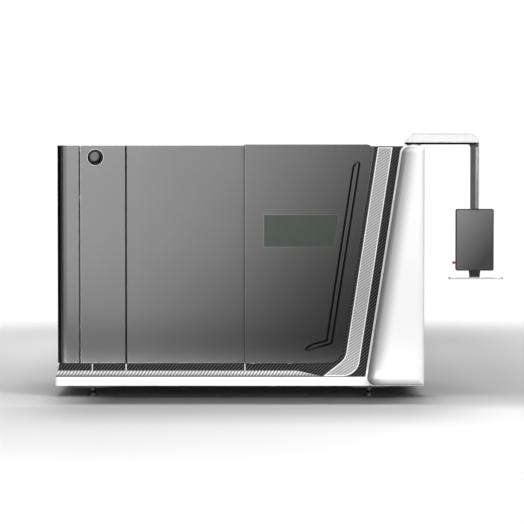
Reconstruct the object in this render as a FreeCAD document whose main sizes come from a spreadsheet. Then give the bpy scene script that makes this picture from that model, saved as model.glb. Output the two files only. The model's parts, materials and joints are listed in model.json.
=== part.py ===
"""Enclosed fibre laser cutting machine with a swinging operator console.

Frame: +X runs along the machine to the right, +Y from the front to the rear, +Z up, in millimetres.
The origin lies on the floor, at the centre of the four anchor holes in the levelling feet.
The sheet "dims" holds every driving size. PLACES names what follows from them.
"""

import FreeCAD, Part
import math
import os
import re

import Sketcher

Vector = FreeCAD.Vector

SIZES = {
    # overall
    "body_length": 3174, "body_depth": 1960, "body_height": 2163,
    "rake": 8.7,                 # lean of the door edge, the swoosh and the column, in degrees
    "foot_shift": 73,            # body centre to the right of the feet's centre
    # plinth
    "skirt_low": 95, "skirt_high": 172, "ledge_high": 224, "band_high": 284, "panel_low": 288,
    "skirt_proud": 17, "skirt_wall": 3, "skirt_flange": 30, "skirt_round": 22, "skirt_split": 121,
    "ledge_foot_inset": 3, "ledge_inset": 22, "band_inset": 34, "band_flange": 46,
    # sheet metal
    "sheet": 2, "fold": 20, "seam": 8, "corner_round": 62, "corner_leg": 330,
    # front panels, from the left end
    "corner_width": 197, "service_width": 396, "mid_width": 1023, "door_low_width": 827,
    # sliding door
    "door_depth": 26, "door_gap": 5, "door_rise": 9, "door_clear": 6, "door_lap": 30,
    "door_low_round": 135, "door_top_round": 60, "seal_width": 7, "liner_drop": 8,
    "window_inset": 164, "window_width": 604, "window_low": 1291, "window_height": 276,
    "glass": 6, "glass_lap": 14, "pane_fit": 0.5,
    # rail over the door and guide under it
    "hanger_wide": 90, "hanger_thick": 5, "hanger_inset": 170, "hanger_pitch": 720,
    "rail_back": 22, "rail_plate": 6, "rail_tall": 30, "rail_start": 830, "shoe_wall": 6,
    "guide_back": 3.5, "guide_gap": 5.5, "guide_wall": 1.5, "guide_deep": 19, "fin_thick": 3,
    "fin_long": 40, "fin_inset": 40, "fin_pitch": 330,
    # grip in the door
    "grip_edge": 155, "grip_width": 52, "grip_low": 455, "grip_high": 1990, "grip_tail": 240,
    "grip_drop": 57, "grip_step": 33, "grip_wall": 2.5, "grip_deep": 20, "grip_groove": 12,
    # surround and swoosh
    "inner_band": 27, "strip_width": 124, "outer_band": 70, "trim_width": 16, "strip_rise": 6,
    "surround_drop": 17, "surround_set": 6, "taper_length": 206, "strip_back": 165, "strip_elbow": 330,
    "strip_low_round": 145, "strip_inner_round": 150, "strip_lift": 6,
    # right-hand column
    "column_proud": 90, "column_round": 62, "column_corner": 66, "column_wall": 4, "column_edge": 8,
    "column_return": 340, "trim_deep": 10, "trim_lap": 30,
    # steel frame
    "tube": 60, "tube_wall": 4, "beam_wide": 100, "beam_wall": 5, "base_high": 255, "base_inset": 40,
    "roof_deep": 47, "roof_set": 6, "roof_fit": 3, "roof_seat": 8,
    # feet
    "foot_inset_x": 392, "foot_inset_y": 118, "pad_radius": 52, "pad_high": 20, "stud_radius": 14,
    "nut_flats": 46, "nut_high": 24, "foot_plate": 20, "foot_plate_long": 300, "anchor_radius": 6,
    "anchor_offset": 36, "boss_radius": 24, "boss_high": 8,
    # cabinet at the left end
    "floor_plate": 3, "unit_wide": 480, "source_long": 700, "source_high": 440, "control_long": 620,
    "control_high": 1600, "unit_wall": 3, "unit_gap": 80,
    # machine bed and table
    "bed_half": 560, "bed_beam": 120, "bed_beam_high": 180, "bed_top": 880, "bed_leg": 100,
    "bed_margin": 60, "slat_top": 850, "slat_high": 84, "slat_pitch": 90, "slat_thick": 4,
    "table_bar": 40, "table_bar_high": 90, "table_fit": 4, "slat_teeth": 24,
    # motion
    "track_wide": 24, "track_high": 22, "block_long": 90, "block_wide": 60, "block_high": 30,
    "block_drop": 14, "block_fit": 0.5, "gantry_rest": 330, "gantry_wide": 170, "gantry_high": 180,
    "gantry_wall": 8, "gantry_plate": 20, "gantry_foot": 190, "foot_reach": 62, "rack_module": 3,
    "pinion_teeth": 20, "backlash": 0.3, "rack_deep": 22, "gear_face": 24, "gear_drop": 36,
    "shaft_radius": 9, "motor_wide": 110, "motor_high": 150, "carriage_rest": 180,
    "carriage_wide": 250, "carriage_plate": 20, "carriage_high": 290, "cross_pitch": 100,
    "drive_shift": 70, "drive_wide": 90, "drive_long": 120, "head_shift": 45,
    "head_wide": 84, "head_deep": 90, "head_high": 260, "head_track": 30, "head_track_high": 14,
    "tip_gap": 60, "nozzle_high": 46, "nozzle_radius": 16, "tip_radius": 4, "slide_fit": 1,
    # slag drawer
    "drawer_wide": 1160, "drawer_long": 1250, "drawer_high": 140, "drawer_wall": 3, "drawer_fit": 5,
    "drawer_rail": 40, "drawer_lift": 6, "drawer_shift": 60, "pull_long": 240, "pull_reach": 34,
    "pull_radius": 7,
    # services
    "spigot_radius": 100, "spigot_wall": 3, "spigot_long": 110, "spigot_flange": 25, "spigot_step": 2, "duct_long": 900, "duct_low": 480,
    "duct_high": 220, "duct_back": 910, "duct_hang": 18, "duct_wall": 2,
    # swinging arm
    "arm_inset_x": 87, "arm_inset_y": 120, "arm_reach": 528, "arm_wide": 130, "arm_high": 78,
    "arm_under": 10, "arm_tail": 81, "arm_slant": 64, "arm_bend": 92, "arm_inner_bend": 36,
    "arm_skin": 8, "arm_wall": 6, "collar_high": 16, "collar_radius": 60, "spindle_radius": 25,
    "spindle_long": 60, "spindle_fit": 0.08, "post_wide": 70, "post_deep": 96,
    # console
    "console_wide": 327, "console_high": 533, "console_deep": 66, "console_low": 1083,
    "console_wall": 8, "console_round": 14, "screen_thick": 5, "screen_rim": 3, "swivel_radius": 18,
    "swivel_long": 30, "tray_wide": 456, "tray_long": 232, "tray_thick": 8, "tray_drop": 59,
    "knuckle": 6, "hinge_pin": 2.5, "bracket_wide": 98, "bracket_foot": 84, "bracket_deep": 50,
    "stop_radius": 13, "stop_stem": 8, "stop_reach": 27, "stop_cap": 16, "stop_high": 69,
    # service door
    "barrel_radius": 3.5, "barrel_pin": 1.5, "barrel_long": 30, "leaf": 2, "leaf_deep": 15,
    "barrel_low": 602, "barrel_high": 1720, "badge_radius": 55, "badge_drop": 103,
    "badge_offset": 134, "badge_ring": 6, "badge_rise": 16, "running": 0.1,
}

PLACES = {
    "left_x": "foot_shift - body_length/2",
    "right_x": "foot_shift + body_length/2",
    "front_y": "-body_depth/2",
    "rear_y": "body_depth/2",
    "door_y": "front_y + skirt_proud",
    "door_back": "door_y + door_depth",
    "panel_y": "door_back + door_gap",
    "shell_left": "left_x + skirt_proud",
    "shell_right": "right_x - skirt_proud",
    "shell_rear": "rear_y - skirt_proud",
    "seam_a": "shell_left + corner_width",
    "seam_b": "seam_a + service_width",
    "door_left": "seam_b + mid_width",
    "door_low_right": "door_left + door_low_width",
    "door_top": "body_height + door_rise",
    "opening_right": "door_low_right - 40",
    "surround_y": "door_y + surround_set",
    "surround_low": "panel_low - door_clear",
    "surround_top": "body_height - surround_drop",
    "strip_start": "door_low_right - strip_back",
    "taper_left": "strip_start - taper_length",
    "trim_y": "front_y - 1 - trim_deep",
    "column_y": "front_y - column_proud",
    "column_top": "body_height - 2",
    "column_back": "column_y + column_return",
    "frame_y": "panel_y + fold",
    "frame_rear": "shell_rear - fold",
    "frame_left": "shell_left + fold",
    "frame_right": "shell_right - fold",
    "roof_low": "body_height - roof_set - roof_deep",
    "roof_top": "body_height - roof_set",
    "chamber_right": "door_low_right + 200",
    "foot_x": "body_length/2 - foot_inset_x",
    "foot_y": "body_depth/2 - foot_inset_y",
    "rail_y": "frame_y + rail_back",
    "hanger_z": "door_top - sheet - hanger_thick",
    "guide_y": "front_y + band_inset + guide_back",
    "bed_left": "seam_b + bed_margin",
    "bed_right": "chamber_right - bed_margin",
    "bed_low": "bed_top - bed_beam_high",
    "track_y": "bed_half + bed_beam/2",
    "rack_face": "bed_half + bed_beam + rack_deep",
    "pitch_radius": "rack_module*pinion_teeth/2",
    "pinion_y": "rack_face - rack_module + pitch_radius",
    "block_low": "bed_top + track_high - block_drop",
    "plate_low": "block_low + block_high",
    "gantry_low": "plate_low + gantry_plate",
    "gantry_top": "gantry_low + gantry_high",
    "gantry_face": "gantry_rest + gantry_wide/2",
    "gear_low": "bed_top - gear_drop",
    "carriage_x": "gantry_face + track_high - block_drop + block_high",
    "head_x": "carriage_x + carriage_plate + slide_fit",
    "tip_z": "slat_top + tip_gap",
    "head_low": "tip_z + nozzle_high",
    "cross_axis_z": "gantry_top + rack_deep - rack_module + pitch_radius",
    "drive_y": "carriage_rest + drive_shift",
    "head_y": "carriage_rest - head_shift",
    "table_low": "slat_top - slat_high - table_bar_high",
    "cabinet_left": "frame_left + tube + 10",
    "arm_x": "right_x - arm_inset_x",
    "arm_y": "front_y + arm_inset_y",
    "arm_low": "column_top + collar_high",
    "arm_shell_low": "arm_low + arm_under",
    "arm_top": "arm_shell_low + arm_high",
    "console_x": "arm_x + arm_reach",
    "post_left": "console_x - post_wide/2",
    "post_right": "console_x + post_wide/2",
    "console_left": "console_x - console_wide/2",
    "console_right": "console_x + console_wide/2",
    "console_top": "console_low + console_high",
    "console_face": "arm_y - console_deep/2",
    "console_back": "arm_y + console_deep/2",
    "tray_z": "console_low - tray_drop",
    "tray_y": "console_face - knuckle - 2",
    "drawer_x": "foot_shift - drawer_shift",
    "drawer_low": "panel_low + drawer_lift",
    "drawer_top": "drawer_low + drawer_high",
    "duct_z": "duct_low + duct_high/2",
    "badge_x": "seam_a + badge_offset",
    "badge_z": "body_height - badge_drop",
}

doc = FreeCAD.newDocument("laser_cutting_machine")
dims = doc.addObject("Spreadsheet::Sheet", "dims")
for row, (alias, size) in enumerate(SIZES.items(), start=1):
    dims.set(f"A{row}", alias)
    dims.set(f"B{row}", str(size))
    dims.setAlias(f"B{row}", alias)
probe = doc.addObject("App::FeaturePython", "probe")
doc.recompute()


def formula(text):
    """A formula in the names above, written out for the expression engine."""
    def name(found):
        word = found.group(0)
        if word in PLACES:
            return f"({formula(PLACES[word])})"
        return f"dims.{word}" if word in SIZES else word
    return re.sub(r"[a-z_]+", name, str(text))


def value(text):
    """The number that a formula has now."""
    return float(probe.evalExpression(formula(text)))


def bind(item, **properties):
    """Binds properties to formulas; a double underscore stands for a dot."""
    for name, text in properties.items():
        item.setExpression(name.replace("__", "."), formula(text))


def edge_x(height, offset="0"):
    """x of the leaning line through the door's right edge, moved right by offset, at a height."""
    return f"(door_low_right + ({height} - panel_low)*tan(rake) + {offset})"


def column_x(height, offset="0"):
    """x of the column's leaning flank at a height."""
    return edge_x(height, f"door_clear + inner_band + strip_width + outer_band + trim_width + {offset}")


# ---------------------------------------------------------------- building blocks

def box(name, x, y, z):
    """A block between pairs of planes."""
    item = doc.addObject("Part::Box", name)
    for side, (low, high), base in zip(("Length", "Width", "Height"), (x, y, z), "xyz"):
        bind(item, **{side: f"({high}) - ({low})", f"Placement__Base__{base}": low})
    return item


def cylinder(name, radius, start, length, along="z"):
    """A round bar from a start point along an axis; a minus sign turns it round."""
    item = doc.addObject("Part::Cylinder", name)
    turns = {"z": (0, 0, 0), "-z": (180, 0, 0), "x": (0, 90, 0), "-x": (0, -90, 0), "y": (-90, 0, 0), "-y": (90, 0, 0)}
    about_x, about_y, _ = turns[along]
    item.Placement.Rotation = FreeCAD.Rotation(0, about_y, about_x)
    bind(item, Radius=radius, Height=length, Placement__Base__x=start[0],
         Placement__Base__y=start[1], Placement__Base__z=start[2])
    return item


def cut(name, base, *tools):
    """base less every tool."""
    for number, tool in enumerate(tools, start=1):
        item = doc.addObject("Part::Cut", name if number == len(tools) else f"{name}_step")
        item.Base, item.Tool = base, tool
        base = item
    return base


def fuse(name, *items):
    item = doc.addObject("Part::MultiFuse", name)
    item.Shapes = list(items)
    return item


def group(name, *items):
    """One node of separate solids."""
    item = doc.addObject("Part::Compound", name)
    item.Links = list(items)
    return item


def mirror(name, item, normal):
    """A mirrored copy about an origin plane."""
    copy = doc.addObject("Part::Mirroring", name)
    copy.Source, copy.Normal = item, normal
    return copy


def tube(name, x, y, z, along, wall="tube_wall"):
    """A rectangular steel tube, open at both ends."""
    inner = [(low, high) if axis == along else (f"{low} + {wall}", f"{high} - {wall}")
             for axis, (low, high) in zip("xyz", (x, y, z))]
    return cut(name, box(f"{name}_outside", x, y, z), box(f"{name}_inside", *inner))


AXIS_OF = {"XY": 2, "XZ": 1, "YZ": 0}


def body(name, plane="XY", at="0"):
    """An empty body whose sketch plane stands at a height or depth."""
    item = doc.addObject("PartDesign::Body", name)
    bind(item, **{f"Placement__Base__{'xyz'[AXIS_OF[plane]]}": at})
    return item


def sketch(item, plane, outline=(), circles=(), lift=None, holes=()):
    """A sketch of closed outlines and circles whose points are bound to formulas."""
    made = item.newObject("Sketcher::SketchObject", f"{item.Name}_sketch")
    flat = [f for f in item.Origin.OriginFeatures if f.Role == f"{plane}_Plane"][0]
    made.AttachmentSupport, made.MapMode = [(flat, "")], "FlatFace"
    if lift is not None:
        bind(made, AttachmentOffset__Base__z=lift)
    for points in [outline, *holes]:
        places = [Vector(value(a), value(b), 0) for a, b in points]
        first, count = made.GeometryCount, len(places)
        for k in range(count):
            made.addGeometry(Part.LineSegment(places[k], places[(k + 1) % count]))
        for k in range(count):
            made.addConstraint(Sketcher.Constraint("Coincident", first + k, 2, first + (k + 1) % count, 1))
            for way, text in zip(("DistanceX", "DistanceY"), points[k]):
                hold = made.addConstraint(Sketcher.Constraint(way, first + k, 1, value(text)))
                made.setExpression(f"Constraints[{hold}]", formula(text))
    for a, b, radius in circles:
        ring = made.addGeometry(Part.Circle(Vector(value(a), value(b), 0), Vector(0, 0, 1), value(radius)))
        for way, text in (("DistanceX", a), ("DistanceY", b)):
            hold = made.addConstraint(Sketcher.Constraint(way, ring, 3, value(text)))
            made.setExpression(f"Constraints[{hold}]", formula(text))
        hold = made.addConstraint(Sketcher.Constraint("Radius", ring, value(radius)))
        made.setExpression(f"Constraints[{hold}]", formula(radius))
    return made


def pad(item, drawn, length):
    made = item.newObject("PartDesign::Pad", f"{item.Name}_pad")
    made.Profile = drawn
    bind(made, Length=length)
    doc.recompute()
    return made


def pocket(item, drawn, length=None, forward=True):
    """Cuts the way that the pads grow, or back against it; through everything with no length."""
    before = item.Tip.Shape.Volume
    made = item.newObject("PartDesign::Pocket", f"{item.Name}_pocket")
    made.Profile, made.Reversed = drawn, forward
    if length is None:
        made.Type = "ThroughAll"
    else:
        bind(made, Length=length)
    doc.recompute()
    if made.Shape.Volume > before - 1e-3:
        raise RuntimeError(f"{made.Name} cuts nothing")
    return made


def corner_edges(shape, axis, corners):
    """Names of the straight edges along an axis that stand on these corners of the outline."""
    found = []
    spots = [(value(a), value(b)) for a, b in corners]
    for number, edge in enumerate(shape.Edges, start=1):
        if not isinstance(edge.Curve, Part.Line) or abs(abs(edge.Curve.Direction[axis]) - 1) > 1e-6:
            continue
        point = [c for k, c in enumerate(edge.Vertexes[0].Point) if k != axis]
        if any(math.hypot(point[0] - a, point[1] - b) < 0.5 for a, b in spots):
            found.append(f"Edge{number}")
    return found


def round_edges(item, edges, radius):
    """Rounds the edges of the body so far that have these names."""
    base = item.Tip
    made = item.newObject("PartDesign::Fillet", f"{item.Name}_fillet")
    made.Base = (base, list(edges))
    bind(made, Radius=radius)
    doc.recompute()
    return made


def round_corners(item, plane, corners, radius):
    """Rounds the edges that stand on corners of the sketched outline."""
    return round_edges(item, corner_edges(item.Tip.Shape, AXIS_OF[plane], corners), radius)


def hollow(item, axis, at, wall):
    """Leaves a wall of sheet, open at the flat face that lies at a place on an axis."""
    base = item.Tip
    spot = value(at)
    faces = [f"Face{n}" for n, face in enumerate(base.Shape.Faces, start=1)
             if abs(face.BoundBox.getPoint(0)[axis] - spot) < 0.01 and abs(face.BoundBox.getPoint(6)[axis] - spot) < 0.01]
    made = item.newObject("PartDesign::Thickness", f"{item.Name}_hollow")
    made.Base = (base, faces)
    made.Reversed, made.Join = True, "Intersection"
    bind(made, Value=wall)
    doc.recompute()
    return made


def rectangle(low, high):
    """The corners of a rectangle between two opposite corners."""
    return [(low[0], low[1]), (high[0], low[1]), (high[0], high[1]), (low[0], high[1])]


def moved(shape, x=0.0, y=0.0, z=0.0):
    copy = shape.copy()
    copy.translate(Vector(x, y, z))
    return copy


def feature(name, shape):
    """A sub-part whose shape is worked out below."""
    item = doc.addObject("Part::Feature", name)
    item.Shape = shape
    return item


def prism(points, low, high):
    """An upright prism on a closed outline of (x, y) points."""
    wire = Part.makePolygon([Vector(x, y, low) for x, y in [*points, points[0]]])
    return Part.Face(wire).extrude(Vector(0, 0, high - low))


PARTS = []


def part(item, label=None):
    """Marks an object as a sub-part and gives it the label that names its file."""
    item.Label = label or item.Name
    PARTS.append(item)
    return item


# ---------------------------------------------------------------- feet and base

CORNERS = [(-1, -1), (1, -1), (-1, 1), (1, 1)]


def build_feet():
    """Levelling feet: a pad with an anchor hole, and a threaded stud with its lock nut."""
    pads, studs = [], []
    for number, (sx, sy) in enumerate(CORNERS, start=1):
        x, y = f"{sx}*foot_x", f"{sy}*foot_y"
        disc = cylinder(f"pad_disc_{number}", "pad_radius", (x, y, "0"), "pad_high - boss_high")
        boss = cylinder(f"pad_boss_{number}", "boss_radius", (x, y, "0"), "pad_high")
        hole = cylinder(f"pad_hole_{number}", "anchor_radius", (x, f"{sy}*(foot_y + anchor_offset)", "-1"), "pad_high")
        pads.append(cut(f"pad_{number}", fuse(f"pad_solid_{number}", disc, boss), hole))
        stud = cylinder(f"stud_bar_{number}", "stud_radius", (x, y, "pad_high"), "skirt_low - foot_plate - pad_high")
        nut = doc.addObject("Part::Prism", f"nut_{number}")
        bind(nut, Circumradius="nut_flats/1.732", Height="nut_high", Placement__Base__x=x,
             Placement__Base__y=y, Placement__Base__z="skirt_low - foot_plate - nut_high")
        studs.append(fuse(f"stud_{number}", stud, nut))
    part(group("foot_pads", *pads))
    part(group("foot_studs", *studs))


def build_base_frame():
    """Two long tubes and four cross tubes, with a plate over each foot and two rails for the slag drawer."""
    front = ("frame_y", "frame_y + beam_wide")
    rear = ("frame_rear - beam_wide", "frame_rear")
    long = ("left_x + base_inset", "right_x - base_inset")
    high = ("skirt_low", "base_high")
    tubes = [tube("base_front", long, front, high, "x", "beam_wall"),
             tube("base_rear", long, rear, high, "x", "beam_wall")]
    starts = ["left_x + base_inset", "bed_left", "bed_right - bed_leg", "right_x - base_inset - beam_wide"]
    for number, x in enumerate(starts, start=1):
        tubes.append(tube(f"base_cross_{number}", (x, f"{x} + beam_wide"), (front[1], rear[0]), high, "y", "beam_wall"))
    for number, (sx, sy) in enumerate(CORNERS, start=1):
        ends = (f"{sx}*foot_x - foot_plate_long/2", f"{sx}*foot_x + foot_plate_long/2")
        tubes.append(box(f"foot_plate_{number}", ends, front if sy < 0 else rear, ("skirt_low - foot_plate", "skirt_low")))
    for side in (-1, 1):
        middle = f"(drawer_x + {side}*(drawer_wide/2 - drawer_rail))"
        tubes.append(box(f"drawer_rail_{side + 1}", (f"{middle} - drawer_rail/2", f"{middle} + drawer_rail/2"),
                         ("frame_y + 20", "rear_y - band_inset - band_flange - 2"),
                         ("base_high", "drawer_low - slide_fit/2")))
    part(group("base_frame", *tubes))


# ---------------------------------------------------------------- plinth

def skirt(name, outline, flange, corner, inner):
    """A bent length of skirt: an upright wall with a flange turned in at the top."""
    item = body(name, "XY", "skirt_low")
    pad(item, sketch(item, "XY", outline), "skirt_high - skirt_low")
    round_corners(item, "XY", [corner], "skirt_round")
    round_corners(item, "XY", [inner], "skirt_round - skirt_wall")
    pad(item, sketch(item, "XY", flange, lift="skirt_high - skirt_low - skirt_wall"), "skirt_wall")
    return item


def build_skirts():
    """The white skirt: a corner length, two front lengths and one round the rear and the right end."""
    wall, lip = "skirt_wall", "skirt_flange"
    split = "left_x + skirt_split"
    corner = skirt(
          "skirt_corner",
          [(split, "front_y"), ("left_x", "front_y"), ("left_x", "rear_y - 1"), (f"left_x + {wall}", "rear_y - 1"),
           (f"left_x + {wall}", f"front_y + {wall}"), (split, f"front_y + {wall}")],
          [(split, f"front_y + {wall}"), (split, f"front_y + {lip}"), (f"left_x + {lip}", f"front_y + {lip}"),
           (f"left_x + {lip}", "rear_y - 1"), (f"left_x + {wall}", "rear_y - 1"),
           (f"left_x + {wall}", "front_y + skirt_round"), ("left_x + skirt_round", f"front_y + {wall}")],
          ("left_x", "front_y"), (f"left_x + {wall}", f"front_y + {wall}"))
    end = column_x("skirt_low", "trim_lap")
    joint = "strip_start - 34"
    lengths = []
    for name, low, high in [("skirt_main", f"{split} + 1", joint), ("skirt_right", f"{joint} + 1", end)]:
        upright = box(f"{name}_wall", (low, high), ("front_y", f"front_y + {wall}"), ("skirt_low", "skirt_high"))
        turned = box(f"{name}_lip", (low, high), ("front_y", f"front_y + {lip}"), (f"skirt_high - {wall}", "skirt_high"))
        lengths.append(fuse(name, upright, turned))
    start = "column_back + 3"
    rear = skirt(
          "skirt_rear",
          [("left_x", "rear_y"), ("left_x", f"rear_y - {wall}"), (f"right_x - {wall}", f"rear_y - {wall}"),
           (f"right_x - {wall}", start), ("right_x", start), ("right_x", "rear_y")],
          [(f"left_x + {lip} + 1", f"rear_y - {wall}"), (f"left_x + {lip} + 1", f"rear_y - {lip}"),
           (f"right_x - {lip}", f"rear_y - {lip}"), (f"right_x - {lip}", start), (f"right_x - {wall}", start),
           (f"right_x - {wall}", "rear_y - skirt_round"), ("right_x - skirt_round", f"rear_y - {wall}")],
          ("right_x", "rear_y"), (f"right_x - {wall}", f"rear_y - {wall}"))
    part(group("skirts", corner, *lengths, rear))


def inset_rectangle(inset):
    """The plan of the plinth, drawn in by an inset on all sides."""
    return rectangle((f"left_x + {inset}", f"front_y + {inset}"), (f"right_x - ({inset})", f"rear_y - ({inset})"))


def leaning_ring(name, low, high, low_inset, high_inset):
    """A leaning band of sheet round the plan of the plinth."""
    item = body(name, "XY", low)
    for kind, wall in (("AdditiveLoft", "0"), ("SubtractiveLoft", "skirt_wall")):
        ends = [sketch(item, "XY", inset_rectangle(f"{low_inset} + {wall}")),
                sketch(item, "XY", inset_rectangle(f"{high_inset} + {wall}"), lift=f"{high} - {low}")]
        loft = item.newObject(f"PartDesign::{kind}", f"{name}_{kind}")
        loft.Profile, loft.Sections = ends[0], [ends[1]]
        doc.recompute()
    return item


def post_places():
    """Where the square posts stand: the corners and seams of the body."""
    front, rear = ("frame_y", "frame_y + tube"), ("frame_rear - tube", "frame_rear")
    left, right = ("frame_left", "frame_left + tube"), ("frame_right - tube", "frame_right")
    cabinet = ("seam_b - tube/2", "seam_b + tube/2")
    return [(left, front), (cabinet, front), (("door_left - tube", "door_left"), front),
            (("opening_right", "opening_right + tube"), front), (left, rear), (cabinet, rear), (right, rear),
            (("chamber_right - tube/2", "chamber_right + tube/2"), rear)]


def build_plinth():
    """The dark kick band under the panels and the bright ledge over the skirt.

    Both run round the body and end where the surround and the column take over.
    """
    behind_column = ("right_x + 1", "column_back + 3")
    band = leaning_ring("plinth_band", "ledge_high", "band_high", "ledge_inset", "band_inset")
    pad(band, sketch(band, "XY", inset_rectangle("band_inset + skirt_wall/2"),
                     holes=[inset_rectangle("band_inset + band_flange")],
                     lift="band_high - ledge_high - skirt_wall"), "skirt_wall")
    pocket(band, sketch(band, "XY", rectangle(("taper_left - 1", "front_y - 1"), behind_column)))
    slot = rectangle(("door_left - mid_width", "guide_y + guide_wall"),
                     ("taper_left - 12", "guide_y + guide_wall + guide_gap"))
    pocket(band, sketch(band, "XY", slot))
    notches = [rectangle((x[0], y[0]), (x[1], y[1])) for x, y in post_places()]
    pocket(band, sketch(band, "XY", notches[0], holes=notches[1:]))
    part(band)
    ledge = leaning_ring("plinth_ledge", "skirt_high", "ledge_high", "ledge_foot_inset", "ledge_inset")
    pocket(ledge, sketch(ledge, "XY", rectangle(("strip_start", "front_y - 1"), behind_column)))
    high, low = "(ledge_high - skirt_high)", "(strip_lift - 1)"
    above = [("strip_start + 1", low), ("strip_start + 1", f"{high} + 1"), ("taper_left - 1", f"{high} + 1"), ("taper_left - 1", f"{high} - 1")]
    pocket(ledge, sketch(ledge, "XZ", above, lift="body_depth/2 - 100"), "110")
    part(ledge)


# ---------------------------------------------------------------- frame

def build_enclosure_frame():
    """Posts and headers of square tube behind the panels, and the heavier post that carries the arm."""
    front, rear = ("frame_y", "frame_y + tube"), ("frame_rear - tube", "frame_rear")
    left, right = ("frame_left", "frame_left + tube"), ("frame_right - tube", "frame_right")
    stand, head = ("base_high", "roof_low - tube"), ("roof_low - tube", "roof_low")
    cabinet = ("seam_b - tube/2", "seam_b + tube/2")
    tubes = [tube(f"post_{number}", x, y, stand, "z") for number, (x, y) in enumerate(post_places(), start=1)]
    tubes.append(tube("post_arm", ("arm_x - beam_wide/2", "arm_x + beam_wide/2"),
                      ("arm_y - beam_wide/2", "arm_y + beam_wide/2"), ("base_high", "column_top - column_wall"),
                      "z", "beam_wall"))
    tubes += [tube("header_front", (left[0], "arm_x - beam_wide/2"), front, head, "x"),
              tube("header_rear", (left[0], right[1]), rear, head, "x"),
              tube("header_left", left, (front[1], rear[0]), head, "y"),
              tube("header_cabinet", cabinet, (front[1], rear[0]), head, "y"),
              tube("header_right", right, ("column_back + 8", rear[0]), head, "y")]
    part(group("enclosure_frame", *tubes))


def build_chamber_walls():
    """The partition to the electrical cabinet and the wall at the chamber's right end."""
    deep, high = ("frame_y + tube + 2", "frame_rear - tube"), ("base_high", "roof_low - tube")
    part(group("chamber_walls", box("partition", ("seam_b + 3", "seam_b + 3 + sheet"), deep, high),
               box("end_wall", ("chamber_right - sheet", "chamber_right"), deep, high)))


# ---------------------------------------------------------------- fixed panels

def panel(name, outline, back, deep="fold"):
    """An upright panel: a flat face with its edges folded back, open behind at a depth."""
    item = body(name, "XZ", back)
    pad(item, sketch(item, "XZ", outline), deep)
    hollow(item, 1, "0", "sheet")
    return item


def build_corner_panel():
    """The left front corner: one sheet rolled round the corner, with a fold at the service door."""
    item = body("corner_panel", "XY", "panel_low")
    right = "seam_a - seam/2"
    end = "panel_y + corner_leg"
    outline = [(right, "panel_y"), ("shell_left", "panel_y"), ("shell_left", end), ("shell_left + sheet", end),
               ("shell_left + sheet", "panel_y + sheet"), (f"{right} - sheet", "panel_y + sheet"),
               (f"{right} - sheet", "panel_y + fold"), (right, "panel_y + fold")]
    pad(item, sketch(item, "XY", outline), "body_height - panel_low")
    round_corners(item, "XY", [("shell_left", "panel_y")], "corner_round")
    round_corners(item, "XY", [("shell_left + sheet", "panel_y + sheet")], "corner_round - sheet")
    part(item)


def build_mid_panel():
    outline = rectangle(("seam_b + seam/2", "panel_low"), ("door_left + door_lap", "body_height"))
    part(panel("mid_panel", outline, "frame_y"))


def end_panel(name, face, start, opening):
    """A flat panel on an end of the body, with two rows of cooling slots."""
    item = body(name, "YZ", face)
    pad(item, sketch(item, "YZ", rectangle((start, "panel_low"), ("shell_rear", "body_height"))), "fold")
    hollow(item, 0, opening, "sheet")
    for low in ("panel_low + 150", "body_height - 400"):
        rows = [rectangle((f"{start} + 160 + {60*k}", low), (f"{start} + 172 + {60*k}", f"{low} + 250")) for k in range(7)]
        pocket(item, sketch(item, "YZ", rows[0], holes=rows[1:], lift="-1"), "fold + 2")
    return item


def build_end_panels():
    part(group("end_panels", end_panel("end_panel_left", "shell_left", "panel_y + corner_leg + seam/2", "fold"),
               end_panel("end_panel_right", "shell_right - fold", "column_back + 3", "0")))


def build_rear_panels():
    """Panels behind the cabinet, the chamber and the service bay, and a filler on each side of the drawer."""
    gap, low, top = "seam/2", "panel_low", "roof_top"
    over = "drawer_top + drawer_fit"
    half = "(drawer_wide/2 + drawer_fit)"
    spans = [("rear_cabinet", "frame_left + 2", f"seam_b - {gap}", low, top),
             ("rear_chamber", f"seam_b + {gap}", f"chamber_right - {gap}", over, top),
             ("rear_bay", f"chamber_right + {gap}", "frame_right - 2", low, top),
             ("filler_left", f"seam_b + {gap}", f"drawer_x - {half}", low, f"{over} - {gap}"),
             ("filler_right", f"drawer_x + {half}", f"chamber_right - {gap}", low, f"{over} - {gap}")]
    made = []
    for name, left, right, bottom, upper in spans:
        item = body(name, "XZ", "shell_rear")
        pad(item, sketch(item, "XZ", rectangle((left, bottom), (right, upper))), "fold")
        hollow(item, 1, "-fold", "sheet")
        if name == "rear_chamber":
            pocket(item, sketch(item, "XZ", circles=[("drawer_x", "duct_z", "spigot_radius - spigot_step + 1")]))
        made.append(item)
    part(group("rear_panels", *made))


def build_roof():
    """Folded lids over the cabinet, the chamber and the bay behind the column."""
    rear = "frame_rear - roof_fit"
    front = "frame_y + tube - roof_seat"
    right = "(arm_x - beam_wide/2)"
    spans = [("roof_cabinet", ("frame_left + roof_fit", "seam_b - seam/2"), ("frame_y + roof_fit", rear)),
             ("roof_chamber", ("seam_b + seam/2", f"{right} - seam"), (front, rear)),
             ("roof_bay", (right, "frame_right - roof_fit"), ("column_back + roof_fit", rear))]
    lids = []
    for name, x, y in spans:
        item = body(name, "XY", "roof_low")
        pad(item, sketch(item, "XY", rectangle((x[0], y[0]), (x[1], y[1]))), "roof_deep")
        hollow(item, 2, "0", "sheet")
        lids.append(item)
    part(group("roof_panels", *lids))


def build_door_jamb():
    """The flat panel behind the surround, between the door opening and the column."""
    outline = [("opening_right", "panel_low"), (column_x("panel_low"), "panel_low"),
               (column_x("surround_top"), "surround_top"), ("opening_right", "surround_top")]
    part(panel("door_jamb", outline, "frame_y"))


# ---------------------------------------------------------------- surround, strip and column

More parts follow.
